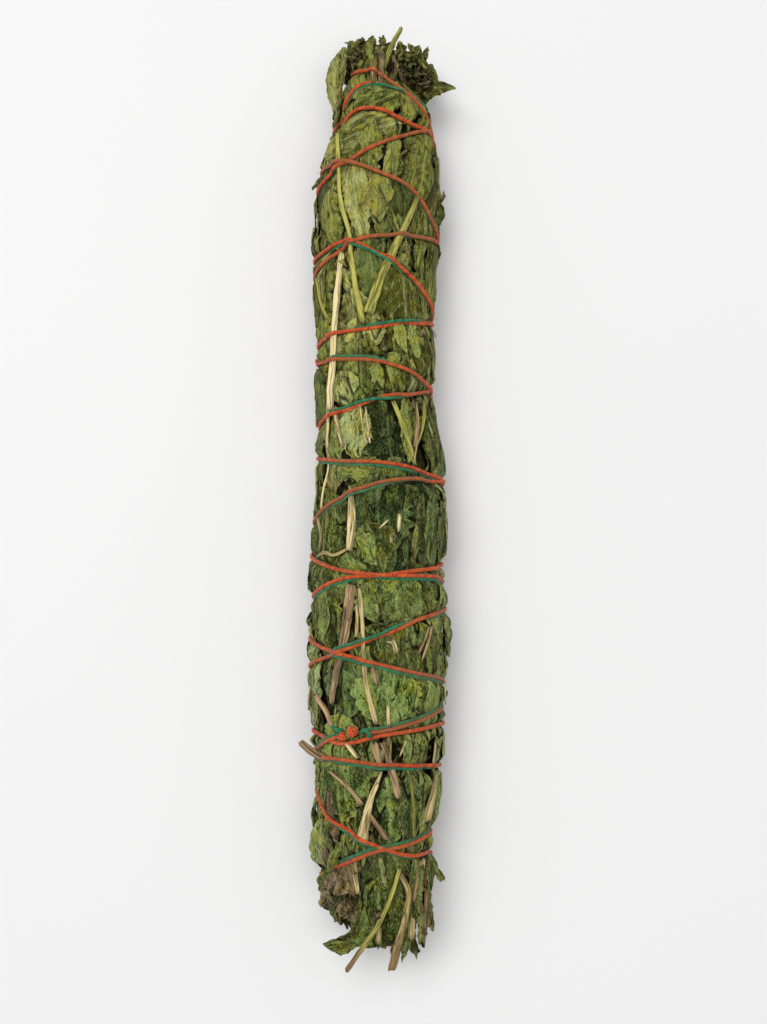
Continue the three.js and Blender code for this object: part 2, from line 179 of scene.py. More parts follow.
def smoothstep(value, low, high):
    share = np.clip((value - low) / (high - low), 0, 1)
    return share * share * (3 - 2 * share)


def held_below(value, limit, softness):
    """The value, bent off smoothly where it nears the limit."""
    return limit - softness * np.logaddexp(0, (limit - value) / softness)


def soften(values, times, sides="edge"):
    """Blurs a grid a little, "times" over. The map of the whole bundle has sides="wrap"."""
    for _ in range(times):
        values = np.pad(values, ((1, 1), (0, 0)), mode="edge")
        values = (values[:-2] + 2 * values[1:-1] + values[2:]) / 4
        values = np.pad(values, ((0, 0), (1, 1)), mode=sides)
        values = (values[:, :-2] + 2 * values[:, 1:-1] + values[:, 2:]) / 4
    return values


def softened_row(values, times):
    """The same for a single row of values."""
    return soften(values[:, None], times)[:, 0]


def smoothed(values, reach):
    """Each value averaged with those up to "reach" steps away, of which the nearest count most."""
    window = np.hanning(2 * reach + 1)
    return np.convolve(np.pad(values, reach, mode="edge"), window / window.sum(), mode="valid")


def spread(values):
    """The highest value of each cell and its neighbours."""
    padded = np.pad(values, 1, mode="edge")
    rows, columns = values.shape
    return np.max([padded[i : i + rows, j : j + columns] for i in range(3) for j in range(3)], axis=0)


def refined(values):
    """The grid with a new value halfway between each two."""
    for _ in range(2):  # once for each axis
        finer = np.empty((2 * len(values) - 1, values.shape[1]))
        finer[::2] = values
        finer[1::2] = (values[:-1] + values[1:]) / 2
        values = finer.T
    return values


def each(shape, *values):
    """The three values that belong to each point of a grid."""
    return np.stack([np.broadcast_to(value, shape) for value in values], -1).reshape(-1, 3)


def lengths_to(points):
    """How long the line is up to each of its points."""
    return np.concatenate([[0], np.cumsum(np.linalg.norm(np.diff(points, axis=0), axis=1))])


def through(knots, values, at):
    """Cubic interpolation of values at knots."""
    values = np.asarray(values, float)
    slopes = np.gradient(values, knots, axis=0)
    index = np.clip(np.searchsorted(knots, at, side="right") - 1, 0, len(knots) - 2)
    gap = knots[index + 1] - knots[index]
    share = (at - knots[index]) / gap
    if values.ndim > 1:
        share, gap = share[:, None], gap[:, None]
    return (
        (1 + 2 * share) * (1 - share) ** 2 * values[index]
        + share * (1 - share) ** 2 * gap * slopes[index]
        + share * share * (3 - 2 * share) * values[index + 1]
        + share * share * (share - 1) * gap * slopes[index + 1]
    )


def curve(points, step):
    """A smooth line through points, sampled about every "step", with the length up to each sample."""
    points = np.asarray(points, float)
    knots = lengths_to(points)
    run = np.linspace(0, knots[-1], max(3, round(knots[-1] / step)) + 1)
    return through(knots, points, run), run


def directions(line):
    """The way in which a line runs at each of its points."""
    tangents = np.gradient(line, axis=0)
    return tangents / np.linalg.norm(tangents, axis=1, keepdims=True)


def sideways_of(tangents, outwards):
    sideways = np.cross(tangents, outwards)
    return sideways / np.linalg.norm(sideways, axis=-1, keepdims=True)


def round_angles(sides):
    return 2 * np.pi * np.arange(sides) / sides


def tube_points(line, outwards, radii):
    """Points of a tube: radii holds a row of radii for each point of the line."""
    tangents = directions(line)
    sideways = sideways_of(tangents, outwards)
    up = np.cross(sideways, tangents)
    angle = round_angles(radii.shape[1])
    ring = np.cos(angle)[..., None] * sideways[:, None] + np.sin(angle)[..., None] * up[:, None]
    return line[:, None] + ring * radii[..., None]


# --- The bundle's outline ---


def measure_outline():
    """Half width and sideways shift along the bundle, measured on the CAD model's packed leaves."""
    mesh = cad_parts["packed_leaves"].data
    corners = [vertex.co for vertex in mesh.vertices]
    tree = BVHTree.FromPolygons(corners, [face.vertices for face in mesh.polygons])
    low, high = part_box("packed_leaves")
    stations = np.linspace(low.y + MM, high.y - MM, OUTLINE_STATIONS)

    def side(along, from_x, heading):
        return tree.ray_cast(Vector((from_x, along, AXIS_HEIGHT * MM)), Vector((heading, 0, 0)))[0].x / MM

    right, left = np.array([(side(along, 0.1, -1), side(along, -0.1, 1)) for along in stations]).T
    return stations / MM, (right - left) / 2 + PACKED_DEPTH, (right + left) / 2


def extended(along, values, before, after):
    """Values sampled every millimetre and smoothed, with the two ends running on to what is given."""
    fine = np.interp(OUTLINE_AT, [OUTLINE_AT[0], *along, OUTLINE_AT[-1]], [before, *values, after])
    return smoothed(fine, 5)


OUTLINE_AT = np.arange(-112.0, 114.0)
measured_at, measured_half, measured_shift = measure_outline()
OUTLINE_HALF = extended(measured_at, measured_half, CUT_END_HALF, TIP_HALF)
OUTLINE_SHIFT = extended(measured_at, measured_shift, CUT_END_SHIFT, TIP_SHIFT)


def outline_at(along):
    return np.interp(along, OUTLINE_AT, OUTLINE_HALF), np.interp(along, OUTLINE_AT, OUTLINE_SHIFT)


def place(around, along, lift):
    """The points, in millimetres, that stand "lift" off the bundle's outline. Below, it is pressed flat."""
    half, shift = outline_at(along)
    angle = np.radians(around)
    x = shift + (half + lift) * np.cos(angle)
    z = AXIS_HEIGHT + (half * FLATNESS + lift) * np.sin(angle)
    floor = 0.1 + FLOOR_SLOPE * np.maximum(FLOOR_LIFT - lift, 0)
    z = floor + FLOOR_SOFTNESS * np.logaddexp(0, (z - floor) / FLOOR_SOFTNESS)
    return np.stack([x, along + 0 * x, z], -1)


def unrolled(around):
    """Millimetres round the bundle, counted from its underside."""
    return np.radians((np.asarray(around) + 90) % 360) * MEAN_RADIUS


# --- The threads' route ---

laid = [(KNOT_LEAVES, KNOT_ALONG)]
for turn, (alongs, _) in enumerate(TURNS):
    laid += [(at - 360 * turn, along) for at, along in zip(PASSED, alongs) if along is not None]
laid.append((KNOT_ARRIVES - 360 * len(TURNS), KNOT_ALONG - 0.4))
ROUTE_KNOTS = np.array([-around for around, _ in laid], float)
ROUTE_STEP = math.degrees(THREAD_STEP / MEAN_RADIUS)
ROUTE = np.arange(ROUTE_KNOTS[0], ROUTE_KNOTS[-1], ROUTE_STEP)  # degrees travelled, clockwise
ROUTE_ALONG = through(ROUTE_KNOTS, [along for _, along in laid], ROUTE)


def pair_twists():
    """How the pair is turned at each step of the route."""
    at = [360 * turn - around for turn in range(len(TURNS)) for around in PASSED]
    return np.interp(ROUTE, at, np.ravel([twists for _, twists in TURNS]))


def pair_rides():
    """How far the pair rides outside the turns that were laid before it, where it crosses them."""
    coarse = np.arange(0, len(ROUTE), 8)
    travelled, along = ROUTE[coarse], ROUTE_ALONG[coarse]
    ride = np.zeros(len(coarse))
    for i in range(len(coarse)):
        before = travelled[:i] < travelled[i] - 180
        apart = (travelled[i] - travelled[:i][before] + 180) % 360 - 180
        distance = np.hypot(along[i] - along[:i][before], np.radians(apart) * MEAN_RADIUS)
        near = 1 - smoothstep(distance, CROSSING_RISE, PAIR_REACH)
        if len(near):
            ride[i] = np.max(near * (CROSSING_RISE + ride[:i][before]))
    return np.interp(ROUTE, travelled, ride)


# --- The map of what has been laid ---


class BundleMap:
    """A value for each place on the bundle, on a grid of about 0.4 mm that closes round it."""

    CELL = 0.4
    FROM = -106.0
    ROWS = 530
    COLUMNS = 240

    def __init__(self, values=0.0):
        self.values = values + np.zeros((self.ROWS, self.COLUMNS))

    @classmethod
    def places(cls):
        around = np.arange(cls.COLUMNS) * 360 / cls.COLUMNS
        along = cls.FROM + np.arange(cls.ROWS) * cls.CELL
        return np.meshgrid(around, along)

    def _cell(self, around, along):
        column = np.asarray(around) / 360 * self.COLUMNS % self.COLUMNS
        row = np.clip((np.asarray(along) - self.FROM) / self.CELL, 0, self.ROWS - 1.001)
        return row, column

    def at(self, around, along):
        row, column = self._cell(around, along)
        down, left = row.astype(int), column.astype(int)
        past_row, past_column = row - down, column - left
        left, right = left % self.COLUMNS, (left + 1) % self.COLUMNS
        low = self.values[down, left] * (1 - past_column) + self.values[down, right] * past_column
        high = self.values[down + 1, left] * (1 - past_column) + self.values[down + 1, right] * past_column
        return low * (1 - past_row) + high * past_row

    def raise_to(self, around, along, lift):
        row, column = self._cell(around, along)
        cells = (np.rint(row).astype(int), np.rint(column).astype(int) % self.COLUMNS)
        np.maximum.at(self.values, cells, lift)


def bed_lift(around, along):
    """The innermost leaves: long pleats that run with the bundle."""
    x = unrolled(around)
    pleats = 0.55 * creases(x / 3.1, along / 19, 1.5) + 0.3 * creases(x / 1.7, along / 8, 2.5)
    return BED + 0.45 * noise(x / 6, along / 14, 3.5) + 0.6 * pleats


def thread_grooves():
    """How deep the leaves are pressed in by the threads, from 0 to 1."""
    grooves = BundleMap()
    grooves.raise_to(-ROUTE, ROUTE_ALONG, 1.0)
    blurred = soften(grooves.values, 9, "wrap")
    return np.clip(blurred / np.percentile(blurred, 93), 0, 1)


map_around, map_along = BundleMap.places()
relief = BundleMap(bed_lift(map_around, map_along))
swelling = BundleMap(
    0.2
    + 0.7 * noise(unrolled(map_around) / 9, map_along / 13, 7.5)
    + 0.3 * noise(unrolled(map_around) / 4, map_along / 6, 8.5)
    - THREAD_BITE * thread_grooves()
)
for around, along, height in BUMPS:
    aside = (unrolled(map_around) - unrolled(around)) / BUMP_REACH
    swelling.values += height * np.exp(-(aside**2) - ((map_along - along) / BUMP_REACH) ** 2)

# --- Pieces ---


class Body:
    """One closed body: points in millimetres or places on the bundle, its faces, and what its material
    reads at each point: grain (across, forward, seed), paint (three values), and how shaded it lies, painted
    as shade, or as a highlight where below 0. The paint is (tone, age, edge) on a leaf, with a painted
    highlight at the edge, (tone, browned, edge) on a stem and (tone, worn, painted shade between plies) on a
    thread."""

    def __init__(self, faces, grain, paint, places=None, points=None, shade=0.0):
        self.faces, self.grain, self.paint = faces, grain, paint
        self.places, self.points, self.shade = places, points, shade


class Piece:
    """A named piece of the visual model, which may hold several bodies."""

    made = {}

    def __init__(self, name, slot, nodes):
        self.name, self.slot, self.nodes, self.bodies = name, slot, nodes, []
        Piece.made[name] = self


def piece(name, slot, *nodes):
    return Piece.made.get(name) or Piece(name, slot, nodes)


def closed_grid(rows, columns):
    """Faces of a sheet with two sides and a rim. Both sides have (rows + 1) * (columns + 1) points."""
    index = np.arange((rows + 1) * (columns + 1)).reshape(rows + 1, columns + 1)
    front = np.stack([index[:-1, :-1], index[1:, :-1], index[1:, 1:], index[:-1, 1:]], -1).reshape(-1, 4)
    border = np.concatenate([index[0, :-1], index[:-1, -1], index[-1, :0:-1], index[:0:-1, 0]])
    following = np.roll(border, -1)
    rim = np.stack([border, following, following + index.size, border + index.size], -1)
    return [front, front[:, ::-1] + index.size, rim]


def two_sided(front, back):
    """What belongs to the points of a sheet's front, and then of its back."""
    return np.concatenate([front.reshape(-1, *front.shape[2:]), back.reshape(-1, *back.shape[2:])])


def closed_tube(rings, sides):
    """Faces of a tube with flat ends."""
    index = np.arange(rings * sides).reshape(rings, sides)
    following = np.roll(index, -1, axis=1)
    wall = np.stack([index[:-1], following[:-1], following[1:], index[1:]], -1).reshape(-1, 4)
    return [wall, index[:1, ::-1], index[-1:]]


def add_tube(into, points, grain, paint, shade=0.0):
    """A tube from its rings of points. Grain and paint hold three values each, or grids of them."""
    shape = points.shape[:2]
    into.bodies.append(
        Body(
            closed_tube(*shape), each(shape, *grain), each(shape, *paint),
            points=points.reshape(-1, 3), shade=shade,
        )
    )


def leaf_outline(share, kind):
    """Half width, as a share of the widest, from a leaf's stalk end (0) to its tip (1)."""
    if kind == "strip":
        return 0.35 + 0.65 * (1 - np.abs(2 * share - 1) ** 5)
    return np.maximum(0.06, np.sin(np.pi * np.clip(share, 0, 1) ** 0.82) ** 0.72)


class Sheet:
    """The grid of a leaf before it is laid: places across and forward in millimetres, and its paint."""

    def __init__(self, length, width, kind, tone, age, ragged, teeth, cell, bow=0.0, edges=None):
        self.width, self.seed = width, next(seeds) * SEED_STEP
        self.rows, self.columns = max(5, round(length / cell)), max(4, round(width / cell))
        # Aside is -1 at its left edge and 1 at its right one, share 0 at its stalk end and 1 at its tip
        self.aside, self.share = np.meshgrid(
            np.linspace(-1, 1, self.columns + 1), np.linspace(0, 1, self.rows + 1)
        )
        half = self.half_width(length, kind, ragged, teeth, edges)
        from_middle = 2 * self.share - 1
        x = self.aside * width
        torn = creases(x / 2.6, 3.0, self.seed) + 0.7 * noise(x / 1.1, 1.0, self.seed)
        torn = torn * (2.6 if edges else 7) * ragged * (kind != "leaf" or bool(edges))
        self.across = self.aside * half
        self.forward = self.share * length + torn * from_middle * np.abs(from_middle) ** 5
        self.bowed = self.across + bow * 4 * self.share * (1 - self.share)
        to_end = np.minimum(self.share, 1 - self.share) * length
        # 1 at the leaf's edge, where its material paints a highlight
        self.edge = np.exp(-np.minimum(half * (1 - np.abs(self.aside)), to_end) / EDGE_WIDTH)
        self.tucked = np.maximum(self.aside**4, from_middle**8)
        self.tone = tone + 0.16 * noise(self.across / 5, self.forward / 5, self.seed + 2)
        self.age = age + 0.35 * age * noise(self.across / 3, self.forward / 4, self.seed + 4)

    def half_width(self, length, kind, ragged, teeth, edges):
        """Half the leaf's width at each point, with its torn and toothed edges."""
        side = np.where(self.aside < 0, -1.0, 1.0)
        run = self.share * length
        half = self.width / 2 * leaf_outline(self.share, kind)
        if edges:
            shares, *halves = np.transpose(edges)
            left, right = (np.interp(self.share, shares, half) for half in halves)
            half = np.where(side < 0, left, right)
        if kind == "strip":
            half = half * (1 - 0.3 * smoothstep(noise(run / 3.4, side * 7.0, self.seed + 9), 0.15, 0.45))
        torn = noise(run / 2.6, side * 3.0, self.seed) + 0.6 * creases(run / 1.3, side * 5.0, self.seed)
        tooth = np.abs((run / TOOTH_PITCH + 0.2 * side) % 1 - 0.35)
        return np.maximum(half * (1 + ragged * torn) - teeth * tooth, 0.08)

    def folds(self, pleats, crumple, pillow, curl):
        """How far the sheet stands off what it lies on."""
        x, y, seed = self.across, self.forward, self.seed
        bent = x + 0.9 * noise(x / 4, y / 5, seed + 7)
        run = y + 1.2 * noise(x / 3, y / 4, seed + 8)
        lengthwise = 0.6 * creases(bent / 3.2, y / 15, seed) + 0.4 * creases(bent / 1.7, y / 9, seed + 1)
        small = 0.7 * creases(bent / 2.4, run / 3.0, seed + 2) + 0.4 * noise(x / 1.0, y / 1.2, seed + 3)
        rib = 0.12 * np.exp(-((x / RIB_HALF) ** 2))
        side_veins = 0.05 * np.cos(2 * np.pi * (y - SIDE_VEIN_SLANT * np.abs(x)) / SIDE_VEIN_PITCH)
        rolled = np.clip((np.abs(self.aside) - 0.72) / 0.28, 0, 1) ** 2
        rolled = rolled * (0.5 + noise(y / 4, np.sign(x) * 4.0, seed + 5))
        return (
            pleats * lengthwise
            + crumple * small
            + pillow * (1 - self.aside**2)
            + curl * np.maximum(rolled, 0)
            + (rib + side_veins) * (self.width > BROAD)
        )

    def thickness(self, thick=LEAF_THICK):
        return thick * (0.35 + 0.65 * (1 - self.aside**6))

    def hollows(self, height):
        """How deep each point lies in a crease: 1 in a deep one, -1 on a ridge; painted as shade and as a
        highlight.
        """
        return (soften(height, 3) - height) / HOLLOW_DEPTH

    def body(self, shade, **where):
        grain = each(self.share.shape, self.across, self.forward, self.seed * 9)
        paint = each(self.share.shape, self.tone, self.age, self.edge)
        faces = closed_grid(self.rows, self.columns)
        return Body(faces, np.tile(grain, (2, 1)), np.tile(paint, (2, 1)), shade=shade, **where)


def lay_leaf(
    into, base, tip, width, tone, age=0.1, *, ragged,
    kind="leaf", bow=0.0, level=-9.0, ceiling=CEILING, pillow=0.3, pleats=0.3, crumple=0.2,
    curl=0.3, teeth=0.0, thick=LEAF_THICK, cell=0.5, conform=6,
):
    """Presses a leaf on the bundle, from its base to its tip, over what has been laid there. It bridges
    what lies deeper than "level", and is pressed down to about "ceiling". The more often what lies below
    is blurred, "conform" times, the less of it shows through the leaf."""
    run = np.array([math.radians(tip[0] - base[0]) * MEAN_RADIUS, tip[1] - base[1]])
    length = float(np.hypot(*run))
    ahead = run / length
    sheet = Sheet(length, width, kind, tone, age, ragged, teeth, cell, bow)
    wobble = 0.35 * noise(sheet.forward / 4, sheet.across / 4, sheet.seed + 6)
    x = sheet.forward * ahead[0] + (sheet.bowed + wobble) * ahead[1]
    along = base[1] + sheet.forward * ahead[1] - (sheet.bowed + wobble) * ahead[0]
    around = base[0] + np.degrees(x / MEAN_RADIUS)
    ground = relief.at(around, along)
    ground = np.maximum(soften(spread(ground), conform), ground - 0.05)
    room = np.clip((ceiling + 0.3 - ground) / 1.2, 0.3, 1)
    folds = sheet.folds(pleats, crumple, pillow, curl) * room
    lift = np.maximum(ground + thick + folds, level - 1.5 * sheet.tucked + 0.8 * folds)
    lift = np.maximum(held_below(lift, ceiling + 0.4, CEILING_SOFTNESS), ground + 0.5 * thick)
    relief.raise_to(refined(around), refined(along), refined(lift))
    # Painted shade in the leaf's creases and a painted highlight on its ridges
    crease_shade = np.clip(sheet.hollows(lift), -1, 1)
    back = lift - sheet.thickness(thick)
    places = (two_sided(around, around), two_sided(along, along), two_sided(lift, back))
    into.bodies.append(sheet.body(two_sided(crease_shade, crease_shade), places=places))


def fly_leaf(
    into, spine, width, facing, tone, *, roll, crumple, cell,
    age=0.15, kind="leaf", pleats=0.5, curl=0.5, teeth=0.6, ragged=0.16, shade=0.15, edges=None,
):
    """A leaf that stands free of the bundle, along a spine. Its sides roll towards "facing", by "roll"
    radians a millimetre. Edges, if given, are its outline: (share of its length, half widths)."""
    line, run = curve(spine, cell)
    sheet = Sheet(run[-1], width, kind, tone, age, ragged, teeth, cell, edges=edges)
    at = np.clip(sheet.forward / run[-1], 0, 1) * (len(run) - 1)
    low = np.clip(at.astype(int), 0, len(run) - 2)
    part = (at - low)[..., None]
    middle = line[low] * (1 - part) + line[low + 1] * part
    tangents = directions(line)[low]
    sideways = -sideways_of(tangents, np.asarray(facing, float))
    normals = np.cross(tangents, sideways)
    turned = (sheet.across * roll * (0.7 + 0.6 * sheet.share))[..., None]
    rolled_normals = normals * np.cos(turned) - sideways * np.sin(turned)
    folds = sheet.folds(pleats, crumple, 0.0, curl)
    front = (
        middle
        + sideways * (np.sin(turned) / roll)
        + normals * ((1 - np.cos(turned)) / roll)
        + rolled_normals * folds[..., None]
    )
    back = front - rolled_normals * sheet.thickness()[..., None]
    # Painted shade in the leaf's creases and a painted highlight on its ridges
    crease_shade = FOLD_SHADE * np.clip(sheet.hollows(folds) / 1.6, -1, 1)
    shades = np.clip(shade + two_sided(crease_shade, crease_shade), -1, 1)
    into.bodies.append(sheet.body(shades, points=two_sided(front, back)))


def stem_radii(run, radius, seed):
    """An uneven, ribbed stem, thinner at its broken ends."""
    angle = round_angles(STEM_SIDES)
    ribs = 1 + 0.12 * np.cos(4 * angle + seed) + 0.08 * np.cos(7 * angle + 2 * seed)
    uneven = 1 + 0.16 * noise(run / 6, 1.0, seed) + 0.08 * noise(run / 1.6, 2.0, seed)
    ends = np.minimum(run, run[-1] - run) / 0.8
    taper = 0.88 + 0.12 * np.clip(ends, 0, 1)
    bumps = 1 + 0.1 * noise(run[:, None] / 2.5, angle * 1.3, seed + 3)
    return radius * (uneven * taper)[:, None] * ribs * bumps


BROWNED = {"end_stalk_left": 1.0, "end_stalk_right": 0.8}  # at the cut end of the stalks that stick out


def add_stem(into, line, run, outwards, radius, tone, flat=1.0, shade=0.0, flare=(1, 1)):
    """A stem with ragged ends. Flare is how wide it is at its two ends."""
    seed = next(seeds) * SEED_STEP
    widths = np.interp(run / run[-1], [0, 1], flare)
    points = tube_points(line, outwards, stem_radii(run, radius, seed) * widths[:, None])
    height = np.sum((points - line[:, None]) * outwards[:, None], axis=-1, keepdims=True)
    points = points - (1 - flat) * height * outwards[:, None]
    jag = 0.8 * noise(np.arange(STEM_SIDES) * 0.9, seed, seed)
    tangents = directions(line)
    points[0] += jag[:, None] * tangents[0]
    points[-1] += jag[::-1, None] * tangents[-1]
    forward = run[:, None]
    edge = np.exp(-np.minimum(forward, run[-1] - forward) / 0.6)
    browned = BROWNED.get(into.name, 0.0) * smoothstep(forward / run[-1], 0.5, 0.95)
    grain = (radius * round_angles(STEM_SIDES), forward, seed * 9)
    add_tube(into, points, grain, (tone, browned, edge), shade)


def add_loose_stem(into, route, radius, tone, **shape):
    """A stem that isn't laid on the leaves."""
    line, run = curve(route, 0.7)
    add_stem(into, line, run, np.tile([0.0, 0.0, 1.0], (len(line), 1)), radius, tone, **shape)


pending_stems = []
stem_tops = BundleMap(-9.0)


def lay_stem(into, route, radius, tone, flare=(1, 1)):
    """Lays a stem on the leaves. Its height is settled at once, and its points once the map is done."""
    side = 1 if route[0][0] <= 180 else -1
    around, along = np.transpose(route)
    half, shift = outline_at(along)
    line, run = curve(np.stack([shift + half * np.cos(np.radians(around)), along], -1), 0.6)
    along = line[:, 1]
    half, shift = outline_at(along)
    around = side * np.degrees(np.arccos(np.clip((line[:, 0] - shift) / half, -1, 1)))
    ground = relief.at(around, along)
    ground = softened_row(spread(ground[:, None])[:, 0], 25)
    lift = np.minimum(ground, CEILING) + radius * STEM_FLAT * (1 - 2 * STEM_SUNK)
    for aside in np.linspace(-1, 1, 5):
        height = lift + radius * STEM_FLAT * math.sqrt(1 - 0.98 * aside**2)
        beside = around + np.degrees(aside * radius / MEAN_RADIUS)
        relief.raise_to(beside, along, height)
        stem_tops.raise_to(beside, along, height)
    pending_stems.append((into, around, along, lift, run, radius, tone, flare))


def set_stems():
    """Gives the laid stems their points."""
    for into, around, along, lift, run, radius, tone, flare in pending_stems:
        line = place(around, along, lift + softened_row(swelling.at(around, along), 30))
        outwards = place(around, along, lift + 1.0) - place(around, along, lift - 1.0)
        outwards[:, 1] = 0
        outwards /= np.maximum(np.linalg.norm(outwards, axis=1, keepdims=True), 1e-6)
        add_stem(into, line, run, outwards, radius, tone, flat=STEM_FLAT, flare=flare)


# --- Leaves and stems of the CAD model ---

GREEN, PALE, DARK, BROWN = "leaf_green", "leaf_pale", "leaf_dark", "leaf_brown"
STRAW, GREEN_STEM, BROWN_STEM = "straw_stem", "green_stem", "brown_stem"


def fill(count, slots, around, along, length, width, lean, layer, **shape):
    """Lays leaves at random over a part of the bundle, each within the ranges given."""
    for number in range(count):
        slot = slots[number % len(slots)]
        size, wide = random.uniform(*length), random.uniform(*width)
        at, middle = random.uniform(*around), random.uniform(*along)
        turn = math.radians(random.uniform(-lean, lean))
        forward = random.choice([-1, 1]) * size / 2
        step = np.degrees(forward * math.sin(turn) / MEAN_RADIUS)
        base = (at - step, middle - forward * math.cos(turn))
        tip = (at + step, middle + forward * math.cos(turn))
        lay_leaf(
            piece(f"{layer}_{slot}", slot), base, tip, wide,
            tone=random.uniform(0.15, 0.75), age=max(0.0, random.normal(0.12, 0.15)), kind="strip",
            bow=random.normal(0, 0.06) * size, ragged=random.uniform(0.06, 0.2), **shape,
        )


ALL_ROUND, UNDERNEATH, ON_TOP = (0, 360), (165, 375), (8, 172)
FOLDED = {"level": -0.7, "pleats": 0.4, "crumple": 0.25}
TORN = {"level": -0.2, "pillow": 0.15, "pleats": 0.15, "crumple": 0.12, "cell": 0.42}
SMOOTH = {"pillow": 0.1, "pleats": 0.16, "crumple": 0.08}

# Long folded leaves inside, all the way round
fill(80, [DARK, GREEN, DARK], ALL_ROUND, (-88, 90), (22, 38), (5, 9), 9, "inner",
     level=-1.7, ceiling=INNER_CEILING, pillow=0.6, pleats=0.4, thick=0.4, cell=1.25)

# The flanks and the underside, which are plainer
FLANKS = [
    # name, base, tip, width, tone
    ("wrap_leaf_flank_left_1", (196, 55), (196, 89), 20, 0.5),
    ("wrap_leaf_flank_left_2", (200, 21), (200, -17), 22, 0.4),
    ("wrap_leaf_flank_right_1", (350, 40), (350, 76), 20, 0.45),
    ("wrap_leaf_flank_right_2", (348, -73), (348, -35), 22, 0.5),
    ("under_leaf_1", (270, -83), (270, -49), 24, 0.4),
    ("under_leaf_2", (270, -47), (270, -13), 24, 0.5),
    ("under_leaf_3", (270, 23), (270, -11), 24, 0.45),
    ("under_leaf_4", (270, 25), (270, 59), 24, 0.5),
    ("under_leaf_5", (270, 57), (270, 91), 24, 0.4),
]
for node, base, tip, width, tone in FLANKS:
    lay_leaf(
        piece(node, DARK, node), base, tip, width, tone,
        ceiling=UNDER_CEILING, pleats=0.45, ragged=0.12, teeth=0.5, cell=0.76,
    )
fill(110, [GREEN, DARK, PALE, GREEN, DARK], UNDERNEATH, (-86, 92), (8, 26), (2, 7), 10, "flank",
     teeth=0.2, cell=0.78, **FOLDED)
fill(26, [DARK, GREEN, DARK, BROWN], UNDERNEATH, (-92, -85), (10, 18), (3, 6), 14, "end",
     cell=0.6, **FOLDED)
fill(24, [DARK, GREEN], UNDERNEATH, (90, 99), (8, 13), (3, 5), 14, "neck", cell=0.6, **FOLDED)

# The upper side
fill(70, [GREEN, DARK, PALE], (5, 175), (-86, 92), (12, 28), (3, 7), 9, "upper",
     level=-0.8, ceiling=UNDER_CEILING, pleats=0.35, cell=0.8)
fill(16, [GREEN, DARK, GREEN], (25, 155), (93, 99), (9, 14), (4, 7), 12, "neck", level=-0.4, **SMOOTH)
fill(32, [GREEN, DARK, GREEN, DARK, PALE], ON_TOP, (-80, 92), (5, 15), (1, 2.4), 12, "torn", **TORN)

